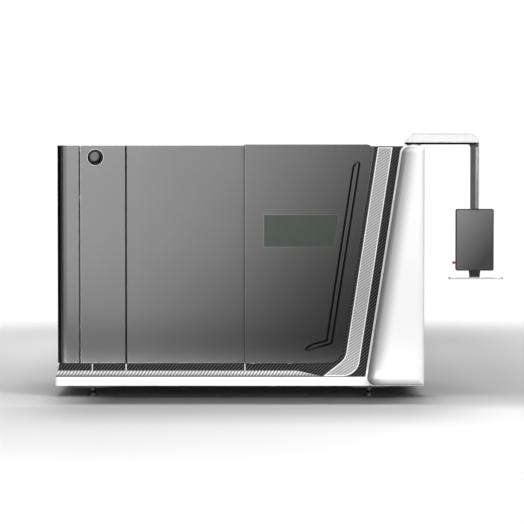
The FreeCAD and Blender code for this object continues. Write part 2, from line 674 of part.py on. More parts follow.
def build_surround():
    """The dark panel right of the door, with a tail that runs down over the ledge."""
    item = body("surround_panel", "XZ", "panel_y")
    corner = (edge_x("surround_low", "door_clear"), "surround_low")
    outline = [("taper_left", "surround_low"), ("taper_left", "ledge_high"), ("strip_start", "skirt_high + strip_lift"),
               ("strip_start + 10", "skirt_high"), (column_x("skirt_high", "trim_lap/2"), "skirt_high"),
               (column_x("surround_top", "trim_lap/2"), "surround_top"), (edge_x("surround_top", "door_clear"), "surround_top"),
               corner]
    pad(item, sketch(item, "XZ", outline), "panel_y - surround_y")
    round_corners(item, "XZ", [corner], "door_low_round + door_clear")
    hollow(item, 1, "0", "skirt_wall")
    part(item)


def build_strip():
    """The bright swoosh: a raised strip that rises from the ledge and runs up beside the door."""
    item = body("swoosh_strip", "XZ", "surround_y")
    low = "skirt_high + strip_lift"
    inner, outer = "door_clear + inner_band", "door_clear + inner_band + strip_width"
    elbow = (edge_x("strip_elbow", inner), "strip_elbow")
    heel = (edge_x(low, outer), low)
    outline = [("strip_start + 14", low), heel, (edge_x("surround_top", outer), "surround_top"),
               (edge_x("surround_top", inner), "surround_top"), elbow]
    pad(item, sketch(item, "XZ", outline), "strip_rise")
    round_corners(item, "XZ", [elbow], "strip_inner_round")
    round_corners(item, "XZ", [heel], "strip_low_round")
    part(item)


def build_column_trim():
    """The bright rim round the column, notched over the skirt that runs in behind it."""
    item = body("column_trim", "XZ", "surround_y")
    low, top, lap = "skirt_low", "column_top", "trim_lap"
    outline = [(column_x(low, "-trim_width"), low), ("right_x", low), ("right_x", top), (column_x(top, "-trim_width"), top)]
    inner = [(column_x(f"{low} + {lap}", lap), f"{low} + {lap}"), (f"right_x - {lap}", f"{low} + {lap}"),
             (f"right_x - {lap}", f"{top} - {lap}"), (column_x(f"{top} - {lap}", lap), f"{top} - {lap}")]
    pad(item, sketch(item, "XZ", outline, holes=[inner]), "surround_y - trim_y")
    round_corners(item, "XZ", [outline[0], outline[3]], "column_corner")
    notch = rectangle((column_x(low, "-trim_width - 5"), f"{low} - 1"), (column_x(low, f"{lap} + 4"), "skirt_high + 2"))
    pocket(item, sketch(item, "XZ", notch), "surround_y - front_y + 1")
    part(item)


def face_edges(shape, at):
    """Names of the edges that bound the flat face at a depth."""
    for number, edge in enumerate(shape.Edges, start=1):
        if abs(edge.BoundBox.YMin - at) < 0.01 and abs(edge.BoundBox.YMax - at) < 0.01:
            yield f"Edge{number}"


def column_solid(name, inset):
    """The column's leaning block with its flanks rounded, drawn in by an inset on every side but the back."""
    item = body(name, "XZ", "trim_y")
    low, top = f"skirt_low + column_edge + {inset}", f"column_top - column_edge - {inset}"
    outline = [(column_x(low, inset), low), (f"right_x - {inset}", low), (f"right_x - {inset}", top), (column_x(top, inset), top)]
    pad(item, sketch(item, "XZ", outline, lift="0 - 1" if inset != "0" else None), f"trim_y - column_y - {inset}" + (" + 1" if inset != "0" else ""))
    round_corners(item, "XZ", [outline[0], outline[3]], f"column_corner - {inset}")
    round_edges(item, face_edges(item.Tip.Shape, value(f"column_y + {inset} - trim_y")), f"column_round - {inset}")
    return item


def build_column():
    """The white moulded column: a leaning front with deep round flanks, open behind."""
    part(cut("column_cover", column_solid("column_outside", "0"), column_solid("column_inside", "column_wall")))


def build_column_return():
    """The sheet that closes the column's end and top, with the bearing hole for the arm."""
    deep = ("surround_y", "column_back")
    side = box("column_side", ("right_x - column_wall", "right_x"), deep, ("skirt_low", "column_top"))
    lid = box("column_lid", (column_x("column_top", "column_corner"), "right_x"), deep, ("column_top - column_wall", "column_top"))
    bore = cylinder("column_bore", "spindle_radius + 3", ("arm_x", "arm_y", "column_top - 20"), "40")
    part(cut("column_return", fuse("column_sheets", side, lid), bore))


# ---------------------------------------------------------------- sliding door

def door_outline(inset="0", low="panel_low", top="door_top"):
    """The door's outline, drawn in by an inset."""
    bottom, upper = f"({low} + {inset})", f"({top} - ({inset}))"
    return [(f"door_left + {inset}", bottom), (edge_x(bottom, f"-({inset})"), bottom),
            (edge_x(upper, f"-({inset})"), upper), (f"door_left + {inset}", upper)]


def window_outline(grow="0"):
    low, high = f"(window_low - ({grow}))", f"(window_low + window_height + {grow})"
    lean = f"({high} - {low})*tan(rake)"
    left, right = f"door_left + window_inset - ({grow})", f"door_left + window_inset + window_width + {grow}"
    return [(left, low), (right, low), (f"{right} + {lean}", high), (left, high)]


def grip_outline(inset="0"):
    """The bent outline of the grip, drawn in by an inset across its long limbs."""
    inner, outer = f"-grip_edge + {inset}", f"-grip_edge + grip_width - ({inset})"
    low, heel = f"(grip_low + {inset})", f"(grip_low + grip_step - ({inset}))"
    high = f"(grip_high - ({inset}))"
    tip_x, tip_z = f"({edge_x('grip_low', outer)} - grip_tail + 3*({inset}))", f"(grip_low - grip_drop + {inset})"
    return [(edge_x(high, inner), high), (edge_x(heel, inner), heel), (f"{tip_x} + 46", f"{tip_z} + 50 - 1.6*({inset})"),
            (tip_x, tip_z), (edge_x(low, outer), low), (edge_x(f"({high} + grip_step)", outer), f"{high} + grip_step")]


def build_door_skin():
    item = body("door_skin", "XZ", "door_back")
    outline = door_outline()
    pad(item, sketch(item, "XZ", outline), "door_depth")
    round_corners(item, "XZ", [outline[1]], "door_low_round")
    round_corners(item, "XZ", [outline[2]], "door_top_round")
    hollow(item, 1, "0", "sheet")
    pocket(item, sketch(item, "XZ", window_outline(), lift="door_depth - sheet - 1"), "sheet + 2")
    pocket(item, sketch(item, "XZ", grip_outline(), lift="door_depth - sheet - 1"), "sheet + 2")
    part(item)


def build_door_liner():
    """The flat inner sheet that closes the door's back, with an opening for the pane."""
    item = body("door_liner", "XZ", "door_back")
    outline = door_outline("(sheet + 0.5)", top="(door_top - liner_drop)")
    pad(item, sketch(item, "XZ", outline, holes=[window_outline("glass_lap + 2")]), "sheet")
    round_corners(item, "XZ", [outline[1]], "door_low_round - sheet")
    round_corners(item, "XZ", [outline[2]], "door_top_round - sheet - liner_drop")
    part(item)


def build_door_window():
    """The laser-safe pane: flush with the skin in its opening and lapped behind it."""
    item = body("door_window", "XZ", "door_y")
    pad(item, sketch(item, "XZ", window_outline("glass_lap"), lift="-(sheet + glass)"), "glass")
    pad(item, sketch(item, "XZ", window_outline("-pane_fit"), lift="-sheet"), "sheet")
    part(item)


def build_grip():
    """A pressed tub in the door with a bar along its middle, which leaves a finger groove on each side."""
    tub = body("grip_tub", "XZ", "door_y")
    pad(tub, sketch(tub, "XZ", grip_outline("pane_fit"), lift="-grip_deep"), "grip_deep")
    hollow(tub, 1, "0", "grip_wall")
    part(tub)
    bar = body("grip_bar", "XZ", "door_y")
    pad(bar, sketch(bar, "XZ", grip_outline("grip_groove"), lift="-(grip_deep - grip_wall)"), "grip_deep - grip_wall - 1")
    part(bar)


def build_door_seal():
    part(box("door_seal", ("door_left - seal_width", "door_left"), ("door_y + 4", "door_back - 2"),
             ("panel_low + 4", "door_top - 6")))


def build_door_runners():
    """Two hangers over the rail at the top, and two guide fins at the bottom."""
    made = []
    for k in range(2):
        x = f"door_left + hanger_inset + {k}*hanger_pitch"
        wide = (x, f"{x} + hanger_wide")
        shoe_y = ("rail_y - 0.5 - shoe_wall", "rail_y + rail_plate + 0.5 + shoe_wall")
        plate = box(f"hanger_plate_{k}", wide, ("door_y + 6", shoe_y[1]), ("hanger_z", "hanger_z + hanger_thick"))
        block = box(f"hanger_shoe_{k}", wide, shoe_y, ("roof_low + 10", "hanger_z"))
        slot = box(f"hanger_slot_{k}", (f"{x} - 1", f"{x} + hanger_wide + 1"),
                   ("rail_y - 0.5", "rail_y + rail_plate + 0.5"), ("roof_low + 9", "roof_low + rail_tall + 0.3"))
        made.append(fuse(f"hanger_{k}", plate, cut(f"shoe_{k}", block, slot)))
        fin_x = f"door_left + fin_inset + {k}*fin_pitch"
        middle = "guide_y + guide_wall + guide_gap/2"
        made.append(box(f"fin_{k}", (fin_x, f"{fin_x} + fin_long"), (f"{middle} - fin_thick/2", f"{middle} + fin_thick/2"),
                        ("band_high - guide_deep + 4", "panel_low")))
    part(group("door_runners", *made))


def build_door_track():
    """The flat rail on the front header and the channel under the kick band's flange."""
    rail = box("door_rail", ("door_left - rail_start", "arm_x - beam_wide"), ("rail_y", "rail_y + rail_plate"),
               ("roof_low", "roof_low + rail_tall"))
    ends = ("door_left - mid_width", "taper_left - 12")
    top = "band_high - skirt_wall"
    low = "band_high - guide_deep"
    outer = box("guide_outside", ends, ("guide_y", "guide_y + guide_gap + 2*guide_wall"), (low, top))
    inner = box("guide_inside", (f"{ends[0]} - 1", f"{ends[1]} + 1"), ("guide_y + guide_wall", "guide_y + guide_wall + guide_gap"),
                (f"{low} + guide_wall", f"{top} + 1"))
    part(group("door_tracks", rail, cut("door_guide", outer, inner)))


# ---------------------------------------------------------------- service door

def barrel(name, low, high):
    return cylinder(name, "barrel_radius", ("seam_a", "panel_y - 1", low), f"{high} - ({low})")


def leaf(name, side, low, high):
    """The flat of a hinge, from the barrel's middle to the fold beside the seam."""
    ends = ("seam_a - seam/2", "seam_a - seam/2 + leaf") if side < 0 else ("seam_a + seam/2 - leaf", "seam_a + seam/2")
    return box(name, ends, ("panel_y - 1", "panel_y - 1 + leaf_deep"), (low, high))


def build_service_hinges():
    """Two barrel hinges at the seam: outer knuckles and pin on the frame side, one knuckle on the door."""
    fixed, moving = [], []
    for number, at in enumerate(("barrel_low", "barrel_high"), start=1):
        third = "barrel_long/3"
        spans = [(f"{at} - 1.5*{third}", f"{at} - 0.5*{third}"), (f"{at} + 0.5*{third}", f"{at} + 1.5*{third}")]
        pieces = [cylinder(f"hinge_pin_{number}", "barrel_pin", ("seam_a", "panel_y - 1", spans[0][0]), "barrel_long")]
        for k, (low, high) in enumerate(spans):
            pieces += [barrel(f"knuckle_{number}_{k}", low, high), leaf(f"leaf_{number}_{k}", -1, low, high)]
        fixed.append(fuse(f"hinge_{number}", *pieces))
        low, high = f"{at} - 0.5*{third} + running", f"{at} + 0.5*{third} - running"
        knuckle = fuse(f"door_knuckle_{number}", barrel(f"door_barrel_{number}", low, high), leaf(f"door_leaf_{number}", 1, low, high))
        hole = cylinder(f"door_bore_{number}", "barrel_pin + running", ("seam_a", "panel_y - 1", f"{at} - barrel_long"), "2*barrel_long")
        moving.append(cut(f"door_hinge_{number}", knuckle, hole))
    part(group("service_hinges", *fixed))
    return moving


def build_service_door():
    moving = build_service_hinges()
    outline = rectangle(("seam_a + seam/2", "panel_low"), ("seam_b - seam/2", "body_height"))
    part(group("service_door", panel("service_panel", outline, "frame_y"), *moving))
    spot = ("badge_x", "panel_y", "badge_z")
    outer = cylinder("badge_outer", "badge_radius", spot, "badge_ring", "-y")
    inner = cylinder("badge_inner", "badge_radius - badge_ring", ("badge_x", "panel_y + 1", "badge_z"), "badge_ring + 2", "-y")
    part(cut("badge_ring", outer, inner))
    dome = body("badge_dome", "XZ", "panel_y")
    ring = sketch(dome, "XZ", circles=[("badge_x", "badge_z", "badge_radius - badge_ring - running")])
    pad(dome, ring, "badge_rise")
    round_edges(dome, face_edges(dome.Tip.Shape, value("-badge_rise")), "badge_rise - 3")
    part(dome)


# ---------------------------------------------------------------- cabinet and services

def build_cabinet():
    """The laser source and the drive cabinet, as casings on a floor plate."""
    x = ("cabinet_left", "cabinet_left + unit_wide")
    floor = "base_high + floor_plate"
    part(box("cabinet_floor", ("frame_left + tube + 2", "seam_b - tube/2 - 2"), ("frame_y + 20", "frame_rear - 20"), ("base_high", floor)))
    start = "frame_y + tube + 20"
    units = [("laser_source", start, "source_long", "source_high"),
             ("drive_cabinet", f"{start} + source_long + unit_gap", "control_long", "control_high")]
    for name, front, long, high in units:
        outer = box(f"{name}_case", x, (front, f"{front} + {long}"), (floor, f"{floor} + {high}"))
        inner = box(f"{name}_space", (f"{x[0]} + unit_wall", f"{x[1]} - unit_wall"),
                    (f"{front} + unit_wall", f"{front} + {long} - unit_wall"), (f"{floor} + unit_wall", f"{floor} + {high} - unit_wall"))
        vent = box(f"{name}_vent", (f"{x[1]} - 60", f"{x[1]} - 20"), (f"{front} + 60", f"{front} + {long} - 60"),
                   (f"{floor} + {high} - 30", f"{floor} + {high} + 1"))
        part(cut(name, outer, inner, vent))


def build_exhaust():
    """The fume plenum hung under the rear bed beam, and its spigot through the rear panel."""
    x = ("drawer_x - duct_long/2", "drawer_x + duct_long/2")
    y = ("bed_half + bed_beam - duct_hang", "duct_back")
    z = ("duct_low", "bed_low")
    wall = "duct_wall"
    outer = box("duct_outside", x, y, z)
    inner = box("duct_inside", (f"{x[0]} + {wall}", f"{x[1]} - {wall}"), (f"{y[0]} - 1", f"{y[1]} - {wall}"),
                (f"{z[0]} + {wall}", f"{z[1]} - {wall}"))
    at_panel = ("drawer_x", "shell_rear", "duct_z")
    pipe = [cylinder("duct_neck", "spigot_radius - spigot_step", ("drawer_x", f"duct_back - {wall}", "duct_z"),
                     f"shell_rear - duct_back + {wall}", "y"),
            cylinder("spigot_flange_disc", "spigot_radius + spigot_flange", at_panel, "spigot_wall", "y"),
            cylinder("spigot_pipe", "spigot_radius", at_panel, "spigot_long", "y")]
    bore = cylinder("spigot_bore", "spigot_radius - spigot_step - spigot_wall", ("drawer_x", "duct_back - 20", "duct_z"),
                    "spigot_long + 200", "y")
    part(cut("exhaust_duct", fuse("duct_body", cut("duct_box", outer, inner), *pipe), bore))


# ---------------------------------------------------------------- bed, table and drawer

def build_bed():
    """Two long beams on legs, with cross tubes between them that carry the table."""
    x, high = ("bed_left", "bed_right"), ("bed_low", "bed_top")
    tubes = []
    for side in (-1, 1):
        near, far = ("bed_half", "bed_half + bed_beam") if side > 0 else ("-bed_half - bed_beam", "-bed_half")
        tubes.append(tube(f"bed_beam_{side + 1}", x, (near, far), high, "x", "beam_wall"))
        middle = (f"{near} + 10", f"{near} + 10 + bed_leg")
        for k, start in enumerate(("bed_left", "bed_right - bed_leg")):
            tubes.append(tube(f"bed_leg_{side + 1}{k}", (start, f"{start} + bed_leg"), middle, ("base_high", "bed_low"), "z", "beam_wall"))
    for k, start in enumerate(("bed_left + bed_leg + 100", "bed_right - 2*bed_leg - 100")):
        tubes.append(tube(f"bed_cross_{k}", (start, f"{start} + bed_leg"), ("-bed_half - bed_beam", "bed_half + bed_beam"),
                          ("table_low - bed_leg", "table_low"), "y", "beam_wall"))
    for k, start in enumerate(("bed_left + bed_leg + 100", "bed_right - 2*bed_leg - 100")):
        for side in (-1, 1):
            place = f"{side}*(bed_half + bed_beam/2)"
            tubes.append(box(f"bed_hanger_{side + 1}{k}", (start, f"{start} + bed_leg"), (f"{place} - 5", f"{place} + 5"), ("table_low", "bed_low")))
    part(group("machine_bed", *tubes))


def build_tracks():
    """The two X guide rails, on the beams."""
    rails = [box(f"x_track_{side + 1}", ("bed_left + 20", "bed_right - 20"),
                 (f"{side}*track_y - track_wide/2", f"{side}*track_y + track_wide/2"), ("bed_top", "bed_top + track_high"))
             for side in (-1, 1)]
    part(group("x_tracks", *rails))


def build_table():
    """The slat table: two bars across the bed, and toothed slats that stand in them."""
    x = ("bed_left + table_fit + 10", "bed_right - table_fit - 10")
    y = "(bed_half - table_fit)"
    low = ("table_low", "table_low + table_bar_high")
    bars = [box(f"table_bar_{side + 1}", x, (f"{side}*{y} - table_bar*{(side + 1) // 2}", f"{side}*{y} + table_bar*{(1 - side) // 2}"), low)
            for side in (-1, 1)]
    ends = [box(f"table_end_{k}", (start, f"{start} + table_bar"), (f"-{y} + table_bar", f"{y} - table_bar"), low)
            for k, start in enumerate((x[0], f"{x[1]} - table_bar"))]
    part(fuse("table_frame", *bars, *ends))
    first, last = value(x[0]) + value("table_bar"), value(x[1]) - value("table_bar")
    pitch, thick, count = value("slat_pitch"), value("slat_thick"), int(value("slat_teeth"))
    half, bottom, top = value(y), value("slat_top - slat_high"), value("slat_top")
    step, valley = 2*half/count, value("slat_top - slat_high/3")
    profile = [(-half, bottom), (half, bottom)]
    for k in range(count):
        profile += [(half - k*step, valley), (half - (k + 0.5)*step, top)]
    profile.append((-half, valley))
    wire = Part.makePolygon([Vector(0, y, z) for y, z in [*profile, profile[0]]])
    slat = Part.Face(wire).extrude(Vector(thick, 0, 0))
    number = int((last - first)//pitch) + 1
    start = (first + last - (number - 1)*pitch)/2
    part(feature("table_slats", Part.makeCompound([moved(slat, x=start + k*pitch) for k in range(number)])))


def build_drawer():
    """The slag drawer, with its face plate and pull at the rear."""
    x, half = "drawer_x", "drawer_wide/2"
    y = ("shell_rear - drawer_long", "shell_rear - sheet")
    wall = "drawer_wall"
    outer = box("drawer_outside", (f"{x} - {half} + 3", f"{x} + {half} - 3"), y, ("drawer_low", "drawer_top - drawer_fit"))
    inner = box("drawer_inside", (f"{x} - {half} + 3 + {wall}", f"{x} + {half} - 3 - {wall}"), (f"{y[0]} + {wall}", f"{y[1]} - {wall}"),
                (f"drawer_low + {wall}", "drawer_top + 1"))
    face = box("drawer_face", (f"{x} - {half}", f"{x} + {half}"), ("shell_rear - sheet", "shell_rear"), ("panel_low", "drawer_top"))
    pull = [cylinder("drawer_pull", "pull_radius", (f"{x} - pull_long/2", "shell_rear + pull_reach", "drawer_low + drawer_high/2"), "pull_long", "x")]
    for side in (-1, 1):
        pull.append(cylinder(f"drawer_pull_leg_{side + 1}", "pull_radius - 1",
                             (f"{x} + {side}*(pull_long/2 - 2*pull_radius)", "shell_rear - 1", "drawer_low + drawer_high/2"),
                             "pull_reach + 1", "y"))
    part(fuse("slag_drawer", cut("drawer_tub", outer, inner), face, *pull))


# ---------------------------------------------------------------- racks and pinions

PRESSURE = math.radians(20)


def rack(start, end, middle, deep, face, play):
    """A straight rack along X: teeth point to +Y and have a gap at x = middle; the back lies at y = -deep."""
    module = value("rack_module")
    pitch = math.pi*module
    lean = math.tan(PRESSURE)*module
    tip, root = pitch/4 - lean - play/2, pitch/4 + 1.25*lean - play/2
    outline = [(start, -deep)]
    first = math.ceil((start + root - middle)/pitch - 0.5)
    last = math.floor((end - root - middle)/pitch - 0.5)
    for k in range(first, last + 1):
        x = middle + (k + 0.5)*pitch
        outline += [(x - root, -2.25*module), (x - tip, 0), (x + tip, 0), (x + root, -2.25*module)]
    outline += [(end, -deep)]
    outline.insert(1, (start, -2.25*module))
    outline.insert(len(outline) - 1, (end, -2.25*module))
    return prism(outline[::-1], 0, face)


def pinion(face):
    """A spur pinion about Z with involute flanks; one tooth points to -Y."""
    module, teeth = value("rack_module"), int(value("pinion_teeth"))
    pitch_radius, tip = module*teeth/2, module*(teeth/2 + 1)
    base = pitch_radius*math.cos(PRESSURE)
    half = math.pi/(2*teeth) + math.tan(PRESSURE) - PRESSURE
    flank = []
    for k in range(6):
        radius = base + (tip - 0.2 - base)*k/5
        roll = math.acos(base/radius)
        flank.append((radius, half - (math.tan(roll) - roll)))
    root = module*(teeth/2 - 1.25)
    outline = []
    for tooth in range(teeth):
        middle = 2*math.pi*tooth/teeth - math.pi/2
        for radius, angle in [(root, half), *flank]:
            outline.append((radius*math.cos(middle - angle), radius*math.sin(middle - angle)))
        for radius, angle in [(root, half), *flank][::-1]:
            outline.append((radius*math.cos(middle + angle), radius*math.sin(middle + angle)))
    return prism(outline, 0, face)


def build_racks():
    """The X racks on the beams' outer faces, with their teeth outward."""
    play, deep, face = value("backlash"), value("rack_deep"), value("gear_face")
    bar = rack(value("bed_left + 20"), value("bed_right - 20"), value("gantry_rest"), deep, face, play)
    rear = moved(bar, y=value("rack_face"), z=value("gear_low"))
    part(feature("x_racks", Part.makeCompound([rear.mirror(Vector(), Vector(0, 1, 0)), rear])))


def build_pinions():
    """The pinions on their shafts, below the gantry's feet."""
    low, reach = value("gear_low"), value("plate_low + gantry_plate/2")
    gear = pinion(value("gear_face"))
    shaft = Part.makeCylinder(value("shaft_radius"), reach - low)
    whole = moved(gear.fuse(shaft).removeSplitter(), x=value("gantry_rest"), y=value("pinion_y"), z=low)
    part(feature("x_pinion_rear", whole))
    part(feature("x_pinion_front", whole.mirror(Vector(), Vector(0, 1, 0))))


# ---------------------------------------------------------------- gantry, carriage and head

def grooved(name, x, y, z, groove):
    """A bearing block: a box with a groove that runs over its rail."""
    return cut(name, box(f"{name}_solid", x, y, z), box(f"{name}_groove", *groove))


def build_gantry():
    """A box beam on end plates; each plate has two bearing blocks under it and a bore for the pinion shaft."""
    wide = ("gantry_rest - gantry_wide/2", "gantry_rest + gantry_wide/2")
    foot = ("gantry_rest - gantry_foot/2", "gantry_rest + gantry_foot/2")
    reach = "(track_y + track_wide)"
    beam = tube("gantry_tube", wide, (f"-{reach}", reach), ("gantry_low", "gantry_top"), "y", "gantry_wall")
    pieces = [beam]
    for side in (-1, 1):
        ends = ("bed_half", "pinion_y + foot_reach") if side > 0 else ("-pinion_y - foot_reach", "-bed_half")
        pieces.append(box(f"gantry_foot_{side + 1}", foot, ends, ("plate_low", "gantry_low")))
        middle = f"{side}*track_y"
        groove_y = (f"{middle} - track_wide/2 - block_fit", f"{middle} + track_wide/2 + block_fit")
        pieces.append(grooved(f"gantry_block_{side + 1}", foot, (f"{middle} - block_wide/2", f"{middle} + block_wide/2"),
                              ("block_low", "plate_low"),
                              ((f"{foot[0]} - 1", f"{foot[1]} + 1"), groove_y, ("block_low - 1", "bed_top + track_high + block_fit"))))
    whole = fuse("gantry_whole", *pieces)
    bores = [cylinder(f"gantry_bore_{side + 1}", "shaft_radius + running", ("gantry_rest", f"{side}*pinion_y", "plate_low - 1"),
                      "gantry_plate/2 + 1 + running") for side in (-1, 1)]
    part(cut("gantry_beam", whole, *bores))
    motors = [box(f"x_motor_{side + 1}", ("gantry_rest - motor_wide/2", "gantry_rest + motor_wide/2"),
                  (f"{side}*pinion_y - motor_wide/2", f"{side}*pinion_y + motor_wide/2"), ("gantry_low", "gantry_low + motor_high"))
              for side in (-1, 1)]
    part(group("x_motors", *motors))


def cross_levels():
    """Heights of the two cross rails."""
    return ["gantry_low + gantry_high/2 - cross_pitch/2", "gantry_low + gantry_high/2 + cross_pitch/2"]


def build_cross_axis():
    """The Y rails on the beam's face, the Y rack on its top, and the carriage that runs on them."""
    reach = "(track_y - 10)"
    rails = [box(f"y_track_{k}", ("gantry_face", "gantry_face + track_high"), (f"-{reach}", reach),
                 (f"{at} - track_wide/2", f"{at} + track_wide/2")) for k, at in enumerate(cross_levels())]
    part(group("y_tracks", *rails))
    face, deep = value("gear_face"), value("rack_deep")
    bar = rack(-value(reach), value(reach), value("drive_y"), deep, face, value("backlash"))
    bar.rotate(Vector(), Vector(1, 0, 0), 90)
    bar.rotate(Vector(), Vector(0, 0, 1), 90)
    bar.translate(Vector(value("gantry_face") - face - 1 - bar.BoundBox.XMin, 0, value("gantry_top + rack_deep")))
    part(feature("y_rack", bar))
    plate_y = ("carriage_rest - carriage_wide/2", "carriage_rest + carriage_wide/2")
    plate_z = ("gantry_low - 10", "gantry_low - 10 + carriage_high")
    plate_x = ("carriage_x", "carriage_x + carriage_plate")
    pieces = [box("carriage_plate_box", plate_x, plate_y, plate_z)]
    for k, at in enumerate(cross_levels()):
        pieces.append(grooved(f"carriage_block_{k}", ("carriage_x - block_high", "carriage_x"), plate_y,
                              (f"{at} - block_wide/2", f"{at} + block_wide/2"),
                              (("carriage_x - block_high - 1", "gantry_face + track_high + block_fit"),
                               ("carriage_rest - carriage_wide", "carriage_rest + carriage_wide"),
                               (f"{at} - track_wide/2 - block_fit", f"{at} + track_wide/2 + block_fit"))))
    pieces.append(box("head_track", ("carriage_x + carriage_plate", "carriage_x + carriage_plate + head_track_high"),
                      ("head_y - head_track/2", "head_y + head_track/2"), plate_z))
    bore = cylinder("carriage_bore", "shaft_radius + running", ("carriage_x - 1", "drive_y", "cross_axis_z"), "carriage_plate + 2", "x")
    part(cut("carriage", fuse("carriage_whole", *pieces), bore))
    part(box("y_motor", (plate_x[1], f"{plate_x[1]} + drive_long"), ("drive_y - drive_wide/2", "drive_y + drive_wide/2"),
             ("cross_axis_z - drive_wide/2", "cross_axis_z + drive_wide/2")))
    gear = pinion(face)
    shaft = Part.makeCylinder(value("shaft_radius"), value("carriage_x + carriage_plate - gantry_face") + face)
    whole = gear.fuse(shaft).removeSplitter()
    whole.rotate(Vector(), Vector(1, 0, 0), 90)
    whole.rotate(Vector(), Vector(0, 0, 1), 90)
    whole.translate(Vector(value("gantry_face") - face - 1, value("drive_y"), value("cross_axis_z")))
    part(feature("y_pinion", whole))


def build_head():
    """The cutting head, which slides on the carriage's upright track, and its nozzle."""
    y = ("head_y - head_wide/2", "head_y + head_wide/2")
    z = ("head_low", "head_low + head_high")
    back = "head_x"
    solid = box("head_solid", (back, f"{back} + head_deep"), y, z)
    groove = box("head_groove", (f"{back} - 1", f"{back} + head_track_high"),
                 ("head_y - head_track/2 - slide_fit/2", "head_y + head_track/2 + slide_fit/2"), ("head_low - 1", "head_low + head_high + 1"))
    part(cut("cutting_head", solid, groove))
    cone = doc.addObject("Part::Cone", "nozzle_cone")
    bind(cone, Radius1="tip_radius", Radius2="nozzle_radius", Height="nozzle_high", Placement__Base__x=f"{back} + head_deep/2 + 6",
         Placement__Base__y="head_y", Placement__Base__z="tip_z")
    bore = cylinder("nozzle_bore", "1.2", (f"{back} + head_deep/2 + 6", "head_y", "tip_z - 1"), "nozzle_high - 10")
    part(cut("nozzle", cone, bore))


# ---------------------------------------------------------------- arm and console

def build_arm():
    """The bearing on the column, the dark inner arm with its spindle, and the white shell over it."""
    ring = cylinder("bearing_ring", "collar_radius", ("arm_x", "arm_y", "column_top"), "collar_high - 0.3")
    sleeve = cylinder("bearing_sleeve", "spindle_radius + 2.5", ("arm_x", "arm_y", "arm_low - spindle_long + 10"), "spindle_long - 20")
    bore = cylinder("bearing_bore", "spindle_radius + spindle_fit", ("arm_x", "arm_y", "arm_low - 2*spindle_long"), "3*spindle_long")
    part(cut("arm_bearing", fuse("bearing_solid", ring, sleeve), bore))

    core = body("arm_core_bar", "XZ", "arm_y + post_deep/2")
    skin_x, upper = "post_right - arm_skin - 0.5", "arm_shell_low - 0.5"
    start, elbow = "arm_x - arm_tail + 5", ("post_left", "arm_low")
    outline = [(start, "arm_low"), elbow, ("post_left", "console_top + 1"), (skin_x, "console_top + 1"), (skin_x, upper), (start, upper)]
    pad(core, sketch(core, "XZ", outline), "post_deep")
    round_corners(core, "XZ", [elbow], "arm_inner_bend")
    spindle = cylinder("arm_spindle", "spindle_radius", ("arm_x", "arm_y", "arm_low - spindle_long"), "spindle_long + 1")
    swivel = cylinder("console_spindle", "swivel_radius", ("console_x", "arm_y", "console_top + 1 - swivel_long"), "swivel_long + 5")
    part(fuse("arm_core", core, spindle, swivel))

    shell = body("arm_shell", "XZ", "arm_y + arm_wide/2")
    tail, bend = "arm_x - arm_tail", ("post_right", "arm_top")
    inside = "post_right - arm_skin"
    outline = [(tail, "arm_shell_low"), (inside, "arm_shell_low"), (inside, "console_top + 1"), ("post_right", "console_top + 1"),
               bend, (f"{tail} + arm_slant", "arm_top")]
    pad(shell, sketch(shell, "XZ", outline), "arm_wide")
    round_corners(shell, "XZ", [bend], "arm_bend")
    space = [(f"{tail} + arm_slant", "arm_shell_low - 1"), (f"{inside} - arm_bend/2", "arm_shell_low - 1"),
             (f"{inside} - arm_bend/2", "arm_top - arm_wall"), (f"{tail} + arm_slant + arm_wall", "arm_top - arm_wall")]
    pocket(shell, sketch(shell, "XZ", space, lift="arm_wall"), "arm_wide - 2*arm_wall")
    part(shell)


